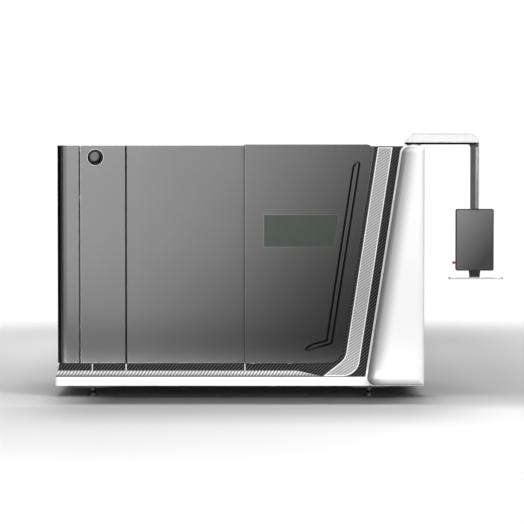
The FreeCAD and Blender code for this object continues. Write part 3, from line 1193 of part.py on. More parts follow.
def build_console():
    """The console's tub, its glass, the bracket under it and the stop button in its side."""
    tub = body("console_tub", "XZ", "console_back")
    outline = rectangle(("console_left", "console_low"), ("console_right", "console_top"))
    pad(tub, sketch(tub, "XZ", outline), "console_deep")
    round_corners(tub, "XZ", outline, "console_round")
    hollow(tub, 1, "-console_deep", "console_wall")
    swivel = cylinder("console_swivel_bore", "swivel_radius + spindle_fit", ("console_x", "arm_y", "console_top - 20"), "40")
    stem = cylinder("console_stop_bore", "stop_stem + running", ("console_left - 1", "arm_y", "console_low + stop_high"), "20", "x")
    part(cut("console_housing", tub, swivel, stem))

    glass = body("console_screen", "XZ", "console_face + screen_thick")
    rim = "(console_wall + 0.3)"
    outline = rectangle((f"console_left + {rim}", f"console_low + {rim}"), (f"console_right - {rim}", f"console_top - {rim}"))
    pad(glass, sketch(glass, "XZ", outline), "screen_thick")
    round_corners(glass, "XZ", outline, "console_round - console_wall")
    part(glass)

    bracket = body("bracket_plate", "XZ", "console_face + bracket_deep + 4")
    low = "tray_z - knuckle"
    outline = [("console_x - bracket_foot/2", low), ("console_x + bracket_foot/2", low), ("console_x + bracket_wide/2", "console_low"),
               ("console_x - bracket_wide/2", "console_low")]
    pad(bracket, sketch(bracket, "XZ", outline), "bracket_deep")
    lugs = []
    for side in (-1, 1):
        outer, inner = "(bracket_foot/2 - 1)", "(bracket_foot/2 - 11)"
        ends = (f"console_x + {inner}", f"console_x + {outer}") if side > 0 else (f"console_x - {outer}", f"console_x - {inner}")
        lugs.append(box(f"bracket_lug_{side + 1}", ends, ("tray_y", "console_face + 6"), ("tray_z - knuckle", "tray_z + knuckle")))
        lugs.append(cylinder(f"bracket_eye_{side + 1}", "knuckle", (ends[0], "tray_y", "tray_z"), f"{ends[1]} - ({ends[0]})", "x"))
    pin = cylinder("bracket_pin", "hinge_pin", ("console_x - bracket_foot/2 + 1", "tray_y", "tray_z"), "bracket_foot - 2", "x")
    part(fuse("tray_bracket", bracket, *lugs, pin))

    shaft = cylinder("stop_shaft", "stop_stem", ("console_left - stop_reach + 2", "arm_y", "console_low + stop_high"),
                     "stop_reach + console_wall + 4", "x")
    cap = cylinder("stop_cap_disc", "stop_radius", ("console_left - stop_reach", "arm_y", "console_low + stop_high"), "stop_cap", "x")
    part(fuse("stop_button", shaft, cap))


def build_tray():
    """The keyboard tray, which folds up on the pin in its bracket."""
    half = "tray_wide/2"
    knuckle_half = "(bracket_foot/2 - 11.3)"
    front = "tray_y - tray_long"
    plate = body("tray_plate", "XY", "tray_z - tray_thick/2")
    outline = rectangle((f"console_x - {half}", front), (f"console_x + {half}", "tray_y - knuckle - 1"))
    pad(plate, sketch(plate, "XY", outline), "tray_thick")
    round_corners(plate, "XY", outline[:2], "console_round")
    neck = box("tray_neck", (f"console_x - {knuckle_half}", f"console_x + {knuckle_half}"), ("tray_y - knuckle - 2", "tray_y"),
               ("tray_z - tray_thick/2", "tray_z + tray_thick/2"))
    eye = cylinder("tray_eye", "knuckle - 0.5", (f"console_x - {knuckle_half}", "tray_y", "tray_z"), f"2*{knuckle_half}", "x")
    bore = cylinder("tray_bore", "hinge_pin + running", (f"console_x - {half}", "tray_y", "tray_z"), "tray_wide", "x")
    part(cut("keyboard_tray", fuse("tray_whole", plate, neck, eye), bore))


BUILDERS = [build_feet, build_base_frame, build_skirts, build_plinth, build_enclosure_frame, build_chamber_walls,
            build_corner_panel, build_mid_panel, build_end_panels, build_rear_panels, build_roof, build_door_jamb, build_surround,
            build_strip, build_column_trim, build_column, build_column_return, build_door_skin, build_door_liner,
            build_door_window, build_grip, build_door_seal, build_door_runners, build_door_track,
            build_service_door, build_cabinet, build_exhaust, build_bed, build_tracks, build_table, build_drawer,
            build_racks, build_pinions, build_gantry, build_cross_axis, build_head, build_arm, build_console,
            build_tray]


def export():
    """Recomputes, checks every object and writes one STEP file for each sub-part."""
    doc.recompute()
    for item in doc.Objects:
        if {"Invalid", "Error"} & set(item.State):
            raise RuntimeError(f"{item.Name} did not compute: {item.State}")
    os.makedirs("parts", exist_ok=True)
    for item in PARTS:
        if item.Shape.isNull() or not item.Shape.isValid():
            raise RuntimeError(f"{item.Label} has no valid shape")
        item.Shape.exportStep(f"parts/{item.Label}.step")


for build in BUILDERS:
    build()
export()
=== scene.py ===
# %% [markdown]
# # An enclosed laser cutting machine
# A sheet-metal body with a sliding door, a leaning white column and a console on a swinging arm.
# The steel and sheet parts come from the CAD frame and keep their shapes. This lesson gives them
# their finishes, and adds the small parts that a CAD model leaves out.

# %% The frame
import bpy, math, json
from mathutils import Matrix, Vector


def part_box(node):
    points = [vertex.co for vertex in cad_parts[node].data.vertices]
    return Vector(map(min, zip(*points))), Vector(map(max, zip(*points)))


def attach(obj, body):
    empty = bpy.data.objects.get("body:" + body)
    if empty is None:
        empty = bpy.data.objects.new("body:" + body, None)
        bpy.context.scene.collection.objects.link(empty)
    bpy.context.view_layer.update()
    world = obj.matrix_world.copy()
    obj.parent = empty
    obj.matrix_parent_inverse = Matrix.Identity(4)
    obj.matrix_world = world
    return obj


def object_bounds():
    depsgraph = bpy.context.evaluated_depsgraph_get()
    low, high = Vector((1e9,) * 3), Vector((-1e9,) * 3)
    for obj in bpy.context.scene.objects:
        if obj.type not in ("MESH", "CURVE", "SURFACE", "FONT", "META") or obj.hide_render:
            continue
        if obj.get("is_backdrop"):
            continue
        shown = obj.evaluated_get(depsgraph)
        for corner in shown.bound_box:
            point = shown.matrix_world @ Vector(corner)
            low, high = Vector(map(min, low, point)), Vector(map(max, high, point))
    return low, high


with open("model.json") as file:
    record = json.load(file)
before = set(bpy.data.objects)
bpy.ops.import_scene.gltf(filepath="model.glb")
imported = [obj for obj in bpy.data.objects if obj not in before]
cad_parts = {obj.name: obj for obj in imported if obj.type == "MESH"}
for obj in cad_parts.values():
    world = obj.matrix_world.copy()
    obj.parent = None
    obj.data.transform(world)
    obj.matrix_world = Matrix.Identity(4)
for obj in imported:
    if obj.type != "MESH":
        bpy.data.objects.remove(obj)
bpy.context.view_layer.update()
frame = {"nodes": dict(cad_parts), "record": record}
nodes = frame["nodes"]
for plain in list(bpy.data.materials):     # the CAD's flat colours, so that the finishes can have their names
    bpy.data.materials.remove(plain)

# %% [markdown]
# ## The view
# A machine this long is shown from far away with a long lens, so that its front stays square.
# A camera is an object with its own data. A Track To constraint could aim it, but turning it once
# towards the middle of the front is simpler and leaves nothing live in the file.

# %% The camera
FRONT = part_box("door_skin")[0].y
AIM = Vector((0.2665, FRONT, 1.161))
VIEW_WIDTH = 4.506     # metres across the view, at the front of the machine

lens = bpy.data.cameras.new("studio_camera")
camera = bpy.data.objects.new("studio_camera", lens)
bpy.context.scene.collection.objects.link(camera)
camera.location = (AIM.x, FRONT - 25, 2.1)
camera.rotation_euler = (AIM - camera.location).to_track_quat("-Z", "Y").to_euler()
lens.sensor_width = 36
lens.lens = lens.sensor_width * (AIM - camera.location).length / VIEW_WIDTH
lens.clip_end = 200
bpy.context.scene.camera = camera
print("lens", round(lens.lens, 1), "mm")

# %% [markdown]
# ## The studio
# The room is white to the camera. The machine itself should see a darker room, or its round corners
# would lose their shape against the background, so the world is dimmer for every other ray.
# The Light Path node tells the two apart.

# %% The white room
room = bpy.data.worlds.new("studio")
bpy.context.scene.world = room
room.use_nodes = True
tree = room.node_tree
tree.nodes.clear()
output = tree.nodes.new("ShaderNodeOutputWorld")
either = tree.nodes.new("ShaderNodeMixShader")
path = tree.nodes.new("ShaderNodeLightPath")
seen, felt = tree.nodes.new("ShaderNodeBackground"), tree.nodes.new("ShaderNodeBackground")
where, axes = tree.nodes.new("ShaderNodeTexCoord"), tree.nodes.new("ShaderNodeSeparateXYZ")
height = tree.nodes.new("ShaderNodeMapRange")
seen.inputs["Color"].default_value = (1, 1, 1, 1)
seen.inputs["Strength"].default_value = 1.05
height.inputs["From Min"].default_value, height.inputs["From Max"].default_value = 0.0, 0.9
height.inputs["To Min"].default_value, height.inputs["To Max"].default_value = 0.12, 0.70
tree.links.new(where.outputs["Generated"], axes.inputs["Vector"])
tree.links.new(axes.outputs["Z"], height.inputs["Value"])
tree.links.new(height.outputs["Result"], felt.inputs["Strength"])
tree.links.new(path.outputs["Is Camera Ray"], either.inputs["Fac"])
tree.links.new(felt.outputs["Background"], either.inputs[1])
tree.links.new(seen.outputs["Background"], either.inputs[2])
tree.links.new(either.outputs["Shader"], output.inputs["Surface"])
bpy.context.scene.view_settings.view_transform = "Standard"

# %% [markdown]
# The main light is a wide softbox in front of the machine, brighter at its left, as a
# studio's graded softbox is. Satin metallic panels mirror it softly, and that adds to the
# long fade across them. An area light can be graded by its own surface coordinates in its nodes.
# Three plain softboxes fill the right, top and back. A low, narrow one with a small spread lights the skirt.

# %% A softbox
def softbox(name, place, target, size, power):
    """A rectangular area light, aimed at a point."""
    data = bpy.data.lights.new(name, "AREA")
    data.shape, data.energy = "RECTANGLE", power
    data.size, data.size_y = size
    light = bpy.data.objects.new(name, data)
    bpy.context.scene.collection.objects.link(light)
    light.location = place
    light.rotation_euler = (Vector(target) - Vector(place)).to_track_quat("-Z", "Y").to_euler()
    light.visible_camera = False
    return light


def graded(light, left, right):
    """Fades a softbox across its width, from one share of its strength at its left to another at its right."""
    data = light.data
    data.use_nodes = True
    tree = data.node_tree
    tree.nodes.clear()
    out, glow = tree.nodes.new("ShaderNodeOutputLight"), tree.nodes.new("ShaderNodeEmission")
    where, slope, fade = (tree.nodes.new(f"ShaderNode{kind}") for kind in ("NewGeometry", "VectorMath", "MapRange"))
    slope.operation = "DOT_PRODUCT"
    slope.inputs[1].default_value = (1, 0, 0)
    fade.interpolation_type = "SMOOTHSTEP"
    fade.inputs["To Min"].default_value, fade.inputs["To Max"].default_value = left, right
    tree.links.new(where.outputs["Parametric"], slope.inputs[0])
    tree.links.new(slope.outputs["Value"], fade.inputs["Value"])
    tree.links.new(fade.outputs["Result"], glow.inputs["Strength"])
    tree.links.new(glow.outputs["Emission"], out.inputs["Surface"])


graded(softbox("front_softbox", (-0.7, -8.5, 2.55), (-0.7, 0, 2.55), (6.4, 4.5), 150), left=1.45, right=0.30)
softbox("right_softbox", (4.6, -6.5, 3.4), (1.3, -1, 1.2), (2.6, 2.6), 190)
softbox("top_softbox", (0.3, -2.4, 5.2), (0.3, -0.6, 0), (5.5, 2.4), 95)
softbox("back_softbox", (0.2, 7.0, 4.2), (0.2, 0.5, 0.8), (6.0, 3.0), 160)
low_box = softbox("low_softbox", (-0.1, FRONT - 1.25, 0.11), (-0.1, FRONT, 0.15), (3.6, 0.06), 2.2)
low_box.data.spread = math.radians(64)
print(len(bpy.data.lights), "softboxes")

# %% [markdown]
# ## The floor
# The floor is a plain pale sheet that fades into the white room some metres away. A round disc with a
# see-through rim does this from every side, where a curved backdrop would block the view from behind.
# The fade is centred behind the machine's middle, so the floor in front fades out sooner.

# %% The floor
FLOOR_RADIUS, FADE_MIDDLE, FADE_START, FADE_END = 16, (0.3, 1.5, 0), 4.6, 10.4

bpy.ops.object.select_all(action="DESELECT")
bpy.ops.mesh.primitive_circle_add(vertices=96, radius=FLOOR_RADIUS, fill_type="NGON", location=(0.3, 0, 0))
floor = bpy.context.object
floor.name = "studio_floor"
bpy.ops.object.transform_apply(location=True)
floor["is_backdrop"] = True

paper = bpy.data.materials.new("pale_floor")
paper.use_nodes = True
tree = paper.node_tree
shader = tree.nodes["Principled BSDF"]
where, far, fade = (tree.nodes.new(f"ShaderNode{kind}") for kind in ("TexCoord", "VectorMath", "MapRange"))
grain, tone = tree.nodes.new("ShaderNodeTexNoise"), tree.nodes.new("ShaderNodeMapRange")
far.operation = "LENGTH"
fade.interpolation_type = "SMOOTHSTEP"
fade.inputs["From Min"].default_value, fade.inputs["From Max"].default_value = FADE_START, FADE_END
fade.inputs["To Min"].default_value, fade.inputs["To Max"].default_value = 1, 0
grain.inputs["Scale"].default_value = 3
tone.inputs["To Min"].default_value, tone.inputs["To Max"].default_value = 0.92, 0.96
shader.inputs["Roughness"].default_value = 0.7
middle = tree.nodes.new("ShaderNodeVectorMath")
middle.operation = "SUBTRACT"
middle.inputs[1].default_value = FADE_MIDDLE
tree.links.new(where.outputs["Object"], middle.inputs[0])
tree.links.new(middle.outputs["Vector"], far.inputs[0])
tree.links.new(far.outputs["Value"], fade.inputs["Value"])
tree.links.new(fade.outputs["Result"], shader.inputs["Alpha"])
tree.links.new(grain.outputs["Fac"], tone.inputs["Value"])
tree.links.new(tone.outputs["Result"], shader.inputs["Base Color"])
floor.data.materials.append(paper)
print("floor", FLOOR_RADIUS * 2, "m across")

# %% [markdown]
# ## Shared effects
# Sheet metal, castings and plastics share a few small effects: a cloudy tone, fine grain, edges painted brighter as a
# painted highlight, settled dust, brushed streaks and the twill print. Each is a node group, built once, with its own
# inputs, so that each finish can use it at its own strength.

# %% A node group
def effect(name, inputs, outputs):
    """An empty node group with named inputs (name, kind, value) and outputs (name, kind)."""
    group = bpy.data.node_groups.new(name, "ShaderNodeTree")
    for label, kind, start in inputs:
        socket = group.interface.new_socket(label, in_out="INPUT", socket_type=f"NodeSocket{kind}")
        socket.default_value = start
    for label, kind in outputs:
        group.interface.new_socket(label, in_out="OUTPUT", socket_type=f"NodeSocket{kind}")
    return group, group.nodes.new("NodeGroupInput"), group.nodes.new("NodeGroupOutput")


def step(tree, kind, operation=None, **values):
    """One node; values are given by socket name, with _ for a space, or as in0, in1 by order."""
    node = tree.nodes.new(f"ShaderNode{kind}")
    if operation:
        node.operation = operation
    for key, item in values.items():
        by_order = key[:2] == "in" and key[2:].isdigit()
        socket = node.inputs[int(key[2:]) if by_order else key.replace("_", " ")]
        if isinstance(item, bpy.types.NodeSocket):
            tree.links.new(item, socket)
        else:
            socket.default_value = item
    return node


def blend_colours(tree, amount, first, second):
    """A colour between two, by a mask."""
    node = tree.nodes.new("ShaderNodeMix")
    node.data_type = "RGBA"
    for socket, item in ((node.inputs[0], amount), (node.inputs[6], first), (node.inputs[7], second)):
        if isinstance(item, bpy.types.NodeSocket):
            tree.links.new(item, socket)
        else:
            socket.default_value = item
    return node.outputs[2]


def place_in(tree):
    """X, Y and Z of the point being shaded, in the piece's own coordinates."""
    return step(tree, "SeparateXYZ", Vector=step(tree, "TexCoord").outputs["Object"]).outputs


# %% [markdown]
# A cloudy tone keeps a large panel from looking printed. A low, wide noise mixes two near tones.

# %% Cloudy tone
clouds, given, made = effect("cloudy_tone", [("Light", "Color", (1, 1, 1, 1)), ("Dark", "Color", (0, 0, 0, 1)),
                                             ("Scale", "Float", 2.0)], [("Colour", "Color")])
place = step(clouds, "TexCoord")
noise = step(clouds, "TexNoise", Vector=place.outputs["Object"], Scale=given.outputs["Scale"], Detail=3.0)
spread = step(clouds, "MapRange", Value=noise.outputs["Fac"], From_Min=0.32, From_Max=0.68)
mixed = blend_colours(clouds, spread.outputs["Result"], given.outputs["Dark"], given.outputs["Light"])
clouds.links.new(mixed, made.inputs["Colour"])

# %% [markdown]
# Powder coat has a skin like an orange, and cast parts are grainy. One noise gives both the bump's
# height and a small change of roughness, because the two go together on a real surface.

# %% Fine grain
grainy, given, made = effect("fine_grain", [("Scale", "Float", 300.0), ("Roughness", "Float", 0.4),
                                            ("Spread", "Float", 0.1)], [("Height", "Float"), ("Roughness", "Float")])
place = step(grainy, "TexCoord")
noise = step(grainy, "TexNoise", Vector=place.outputs["Object"], Scale=given.outputs["Scale"], Detail=2.0)
broad = step(grainy, "TexNoise", Vector=place.outputs["Object"], Scale=3.0, Detail=4.0)
both = step(grainy, "Math", "MULTIPLY", in0=noise.outputs["Fac"], in1=broad.outputs["Fac"])
swing = step(grainy, "Math", "MULTIPLY_ADD", in0=both.outputs[0], in1=given.outputs["Spread"],
             in2=given.outputs["Roughness"])
grainy.links.new(noise.outputs["Fac"], made.inputs["Height"])
grainy.links.new(swing.outputs[0], made.inputs["Roughness"])

# %% [markdown]
# A folded sheet's edge catches the light, and paint is thinner and rubbed there. The edge tone that a finish mixes in
# by this mask is mostly a painted highlight, and a painted shade where a finish makes it darker. The Bevel node gives
# the normal of a rounded edge, and where that differs from the true normal there is an edge.

# %% Edges
edges, given, made = effect("edge_light", [("Width", "Float", 0.003)], [("Edge", "Float")])
rounded = step(edges, "Bevel", Radius=given.outputs["Width"])
rounded.samples = 4
true = step(edges, "NewGeometry")
same = step(edges, "VectorMath", "DOT_PRODUCT", in0=rounded.outputs["Normal"], in1=true.outputs["Normal"])
mask = step(edges, "MapRange", Value=same.outputs["Value"], From_Min=0.998, From_Max=0.90)
edges.links.new(mask.outputs["Result"], made.inputs["Edge"])

# %% [markdown]
# Dust settles on faces that look up. The normal's Z picks them, and a noise breaks the dust up.

# %% Dust
dusty, given, made = effect("settled_dust", [("Amount", "Float", 0.3)], [("Dust", "Float")])
true, place = step(dusty, "NewGeometry"), step(dusty, "TexCoord")
up = step(dusty, "SeparateXYZ", Vector=true.outputs["Normal"])
flat = step(dusty, "MapRange", Value=up.outputs["Z"], From_Min=0.5, From_Max=1.0)
noise = step(dusty, "TexNoise", Vector=place.outputs["Object"], Scale=9.0, Detail=6.0)
broken = step(dusty, "Math", "MULTIPLY", in0=flat.outputs["Result"], in1=noise.outputs["Fac"])
scaled = step(dusty, "Math", "MULTIPLY", in0=broken.outputs[0], in1=given.outputs["Amount"])
dusty.links.new(scaled.outputs[0], made.inputs["Dust"])

# %% [markdown]
# Ground and rolled steel has fine lines in one direction. A noise draws them, on coordinates
# that are multiplied by a different number on each axis.

# %% Brushed streaks
brushed, given, made = effect("brushed_streaks", [("Stretch", "Vector", (2.0, 2.0, 300.0))], [("Streak", "Float")])
place = step(brushed, "TexCoord")
pull = step(brushed, "VectorMath", "MULTIPLY", in0=place.outputs["Object"], in1=given.outputs["Stretch"])
noise = step(brushed, "TexNoise", Vector=pull.outputs[0], Scale=1.0, Detail=4.0)
brushed.links.new(noise.outputs["Fac"], made.inputs["Streak"])

# %% [markdown]
# The decorative bands carry a printed twill: slanting lines that rise to the right. Distance across the
# lines is a mix of height and length, and a ping-pong of it gives a line every pitch. Length is taken
# as X plus Y, so that the lines run on round the corners.

# %% Twill lines
twill, given, made = effect("twill_lines", [("Pitch", "Float", 0.02), ("Lean", "Float", 0.6), ("Share", "Float", 0.5),
                                            ("Soft", "Float", 0.18)], [("Line", "Float")])
axes = place_in(twill)
along = step(twill, "Math", "ADD", in0=axes["X"], in1=axes["Y"])
rise = step(twill, "Math", "COSINE", in0=given.outputs["Lean"])
run = step(twill, "Math", "SINE", in0=given.outputs["Lean"])
high = step(twill, "Math", "MULTIPLY", in0=axes["Z"], in1=rise.outputs[0])
side = step(twill, "Math", "MULTIPLY", in0=along.outputs[0], in1=run.outputs[0])
across = step(twill, "Math", "SUBTRACT", in0=high.outputs[0], in1=side.outputs[0])
turns = step(twill, "Math", "DIVIDE", in0=across.outputs[0], in1=given.outputs["Pitch"])
wave = step(twill, "Math", "PINGPONG", in0=turns.outputs[0], in1=0.5)
double = step(twill, "Math", "MULTIPLY", in0=wave.outputs[0], in1=2.0)
low = step(twill, "Math", "SUBTRACT", in0=given.outputs["Share"], in1=given.outputs["Soft"])
top = step(twill, "Math", "ADD", in0=given.outputs["Share"], in1=given.outputs["Soft"])
line = step(twill, "MapRange", Value=double.outputs[0], From_Min=low.outputs[0], From_Max=top.outputs[0])
line.interpolation_type = "SMOOTHSTEP"
twill.links.new(line.outputs["Result"], made.inputs["Line"])

# %% [markdown]
# Light and shade on the front are painted into its colour as one long soft painted shade, lighter at the upper left and
# darker at the lower right. A slope over length and height, eased at both ends, says how far along the shade a point
# is. A second mask paints shade at the foot of the panels.

# %% Long shade
shade, given, made = effect("painted_long_shade", [], [("Shade", "Float"), ("Foot", "Float")])
axes = place_in(shade)
# Painted shade: the fall runs from the lit upper left to the shaded lower right.
fall = step(shade, "Math", "MULTIPLY_ADD", in0=axes["Z"], in1=-0.75, in2=axes["X"])
far = step(shade, "MapRange", Value=fall.outputs[0], From_Min=-1.6, From_Max=0.85)
far.interpolation_type = "SMOOTHSTEP"
shade.links.new(far.outputs["Result"], made.inputs["Shade"])
# Painted shade at the foot of the panels.
foot = step(shade, "MapRange", Value=axes["Z"], From_Min=0.80, From_Max=0.28, To_Max=0.60)
foot.interpolation_type = "SMOOTHSTEP"
shade.links.new(foot.outputs["Result"], made.inputs["Foot"])
print(len(bpy.data.node_groups), "node groups")

# %% [markdown]
# ## The finishes
# Every finish starts the same way: a Principled shader whose colour comes from the cloudy tone, then painted edges and
# dust over it, and whose grain drives roughness and bump. An edge tone lighter than the colour is a painted highlight,
# and a darker one is a painted shade. Plain numbers stay on the shader's sockets.

# %% A coated surface
def use(tree, group, **values):
    """Places an effect in a material, with its own values."""
    node = tree.nodes.new("ShaderNodeGroup")
    node.node_tree = group
    for key, item in values.items():
        socket = node.inputs[key]
        if isinstance(item, bpy.types.NodeSocket):
            tree.links.new(item, socket)
        else:
            socket.default_value = item
    return node


def grey(tone):
    """A colour with no hue."""
    return (tone, tone, tone, 1)


def surface(name, light, dark, scale=1.5, roughness=0.4, spread=0.12, grain=350.0, bump=0.05, metallic=0.0,
            edge=0.0, edge_tone=(0.8, 0.8, 0.8, 1), dust=0.0, coat=0.0, coat_roughness=0.08, specular=0.5, width=0.003):
    """A finish with a cloudy colour, grain, and dust and painted edges where asked: a lighter edge tone paints a
    highlight, a darker one paints shade.
    """
    made = bpy.data.materials.new(name)
    made.use_nodes = True
    tree = made.node_tree
    shader = tree.nodes["Principled BSDF"]
    colour = use(tree, clouds, Light=light, Dark=dark, Scale=scale).outputs["Colour"]
    # Painted edges: the edge tone over the colour, a painted highlight when lighter and a painted shade when darker.
    if edge:
        rim = step(tree, "Math", "MULTIPLY", in0=use(tree, edges, Width=width).outputs["Edge"], in1=edge)
        colour = blend_colours(tree, rim.outputs[0], colour, edge_tone)
    if dust:
        colour = blend_colours(tree, use(tree, dusty, Amount=dust).outputs["Dust"], colour, (0.42, 0.40, 0.37, 1))
    skin = use(tree, grainy, Scale=grain, Roughness=roughness, Spread=spread)
    lift = step(tree, "Bump", Height=skin.outputs["Height"], Strength=bump, Distance=0.001)
    tree.links.new(colour, shader.inputs["Base Color"])
    tree.links.new(skin.outputs["Roughness"], shader.inputs["Roughness"])
    tree.links.new(lift.outputs["Normal"], shader.inputs["Normal"])
    shader.inputs["Metallic"].default_value = metallic
    shader.inputs["Coat Weight"].default_value = coat
    shader.inputs["Coat Roughness"].default_value = coat_roughness
    shader.inputs["Specular IOR Level"].default_value = specular
    return made


def colour_of(made):
    """The socket that feeds a finish's colour now."""
    return made.node_tree.nodes["Principled BSDF"].inputs["Base Color"].links[0].from_socket


def recolour(made, mask, toned):
    """Mixes another tone over a finish's colour, by a mask."""
    tree = made.node_tree
    mixed = blend_colours(tree, mask, colour_of(made), toned)
    tree.links.new(mixed, tree.nodes["Principled BSDF"].inputs["Base Color"])


# %% [markdown]
# ### Anthracite sheet
# The panels are satin metallic paint: mostly a soft mirror of the room, with fine flake. A part-metallic base with a
# middling roughness gives it, and the edges of each fold are painted a little brighter, a painted highlight.

# %% Anthracite paint
anthracite = surface("anthracite_paint", grey(0.21), grey(0.19), scale=0.8, roughness=0.25, spread=0.05, grain=900.0,
                     bump=0.015, metallic=0.8, edge=0.85, edge_tone=grey(0.75), dust=0.25, width=0.006)
# Painted shade: the long fade towards the lower right and the darker foot of the panels are mixed into the paint's
# colour.
painted_shades = use(anthracite.node_tree, shade).outputs
recolour(anthracite, painted_shades["Shade"], grey(0.030))
recolour(anthracite, painted_shades["Foot"], grey(0.012))
print(anthracite.name, len(anthracite.node_tree.nodes), "nodes")

# %% [markdown]
# The corner panel turns round the machine's left edge. Its turned part, away from the light, is painted with shade:
# black at the very edge and then a darker grey, two steps of painted shade along X.

# %% Corner paint
corner_paint = anthracite.copy()
corner_paint.name = "corner_paint"
left_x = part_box("corner_panel")[0].x
along_x = place_in(corner_paint.node_tree)["X"]
bands = [(0.088, 0.076, grey(0.13)), (0.036, 0.026, grey(0.004))]     # metres from the left edge, and the tone
# Each band paints shade over the turned part.
for start, end, toned in bands:
    mask = step(corner_paint.node_tree, "MapRange", Value=along_x, From_Min=left_x + start, From_Max=left_x + end)
    recolour(corner_paint, mask.outputs["Result"], toned)
print(len(bands), "bands on the corner")

# %% [markdown]
# ### White paint
# The skirt, the column and its trim are smooth gloss white, with no flake, so they stay diffuse. The arm's plastic
# shell has soft grey edges of painted shade, which keep its outline visible against the white room.

# %% White paint and plastic
white = surface("white_paint", grey(0.93), grey(0.90), scale=1.0, roughness=0.25, spread=0.05, grain=500.0, bump=0.01,
                edge=0.25, edge_tone=grey(0.97), dust=0.10, coat=0.3)
# The shell's grey edge tone is painted shade along its edges.
surface("white_plastic", grey(0.82), grey(0.79), scale=3.0, roughness=0.35, spread=0.08, grain=900.0, bump=0.02,
        edge=1.0, edge_tone=grey(0.34), width=0.016)
print("white paint and plastic")

# %% [markdown]
# The column's cover leans, and its left flank, turned away from the light, is painted grey with shade, which makes it
# look rounder than its sheet is. The painted shade follows the leaning edge: distance to the edge is X less the edge's
# own X at that height.

# %% Toned column
column_white = white.copy()
column_white.name = "column_white"
tree = column_white.node_tree
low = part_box("column_cover")[0]
axes = place_in(tree)
lean = math.tan(math.radians(8.7))
foot_edge = low.x - low.z * lean
edge_now = step(tree, "Math", "MULTIPLY_ADD", in0=axes["Z"], in1=-lean, in2=axes["X"])
inside = step(tree, "MapRange", Value=edge_now.outputs[0], From_Min=foot_edge - 0.02, From_Max=foot_edge + 0.16)
inside.interpolation_type = "SMOOTHSTEP"
# Painted shade: grey at the flank's edge, the white paint further in.
toned = blend_colours(tree, inside.outputs["Result"], grey(0.20), colour_of(column_white))
tree.links.new(toned, tree.nodes["Principled BSDF"].inputs["Base Color"])
print("column toned from its edge inwards, lean", round(lean, 3))

# %% [markdown]
# ### The printed bands
# The dark band is black with grey twill lines, and the swoosh is silver with darker ones. Both are one
# sheet of film with a slightly raised print, so the line also goes to the bump.

# %% Twill film
def film(name, ground, lines, pitch, lean, share, roughness, metallic, gloss, soft=0.18):
    """A sheet of film: a ground tone with slanting printed lines of another tone."""
    made = surface(name, grey(ground * 1.08), grey(ground * 0.92), scale=2.0, roughness=roughness, metallic=metallic,
                   edge=0.3, edge_tone=grey(min(0.9, lines * 1.2)), specular=gloss)
    tree = made.node_tree
    shader = tree.nodes["Principled BSDF"]
    print_line = use(tree, twill, Pitch=pitch, Lean=math.radians(lean), Share=share, Soft=soft).outputs["Line"]
    tree.links.new(blend_colours(tree, print_line, colour_of(made), grey(lines)), shader.inputs["Base Color"])
    raised = step(tree, "Bump", Height=print_line, Strength=0.3, Distance=0.0004)
    tree.links.new(raised.outputs["Normal"], shader.inputs["Normal"])
    return made


film("twill_black", ground=0.003, lines=0.085, pitch=0.020, lean=42, share=0.62, roughness=0.5, metallic=0.0,
     gloss=0.10)
film("swoosh_silver", ground=0.52, lines=0.26, pitch=0.020, lean=33, share=0.52, roughness=0.4, metallic=0.2, gloss=0.3)
print("two films, lines 20 mm apart")

# %% [markdown]
# The ledge over the skirt has the silver film too, and along its foot it is painted black, a painted shade. Height in
# the piece's own coordinates drives the fade.

# %% Ledge film
ledge_film = film("ledge_film", ground=0.80, lines=0.26, pitch=0.020, lean=45, share=0.55, roughness=0.4, metallic=0.1,
                  gloss=0.3)
foot_z, fade_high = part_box("plinth_ledge")[0].z, 0.030
height_now = place_in(ledge_film.node_tree)["Z"]
foot = step(ledge_film.node_tree, "MapRange", Value=height_now, From_Min=foot_z + fade_high, From_Max=foot_z)
# Painted shade along the ledge's foot.
recolour(ledge_film, foot.outputs["Result"], grey(0.02))
print("ledge fades over", round(fade_high * 1000), "mm")

# %% [markdown]
# ### The panes
# The door's pane is tinted polycarbonate that stops laser light: dark green and nearly opaque, and the front's long
# painted shade is painted over it too. The console's glass is plain and dark, and painted light makes it lighter at its
# upper left. Both are smooth under a clear coat.

# %% Panes
laser_glass = surface("laser_glass", (0.062, 0.084, 0.067, 1), (0.052, 0.070, 0.056, 1), scale=1.2, roughness=0.22,
                      spread=0.04, grain=40.0, bump=0.004, edge=0.3, edge_tone=(0.10, 0.13, 0.10, 1), coat=0.15,
                      width=0.002)
# Painted shade: the pane darkens along the front's long painted shade.
recolour(laser_glass, use(laser_glass.node_tree, shade).outputs["Shade"], (0.022, 0.030, 0.022, 1))

screen_glass = surface("screen_glass", grey(0.27), grey(0.27), scale=2.0, roughness=0.22, spread=0.03, grain=60.0,
                       bump=0.003, metallic=0.4, coat=0.2)
low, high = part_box("console_screen")
axes = place_in(screen_glass.node_tree)
steep = 0.8
# Painted light: the screen is lighter at its upper left and darker towards its lower right.
down = step(screen_glass.node_tree, "Math", "MULTIPLY_ADD", in0=axes["Z"], in1=-steep, in2=axes["X"])
fall = step(screen_glass.node_tree, "MapRange", Value=down.outputs[0], From_Min=low.x - steep * high.z + 0.05,
            From_Max=high.x - steep * low.z - 0.15)
recolour(screen_glass, fall.outputs["Result"], grey(0.07))
console_black = surface("console_black", grey(0.022), grey(0.016), scale=5.0, roughness=0.45, grain=700.0, bump=0.06,
                        edge=0.3, edge_tone=grey(0.10), specular=0.25)
print("pane, screen and console housing")

# %% [markdown]
# ### Paints, plastics and rubber
# The frame, the cabinets and the motors inside are duller than the front. They all come from the same
# coated surface, with more grain, more dust and less gloss.

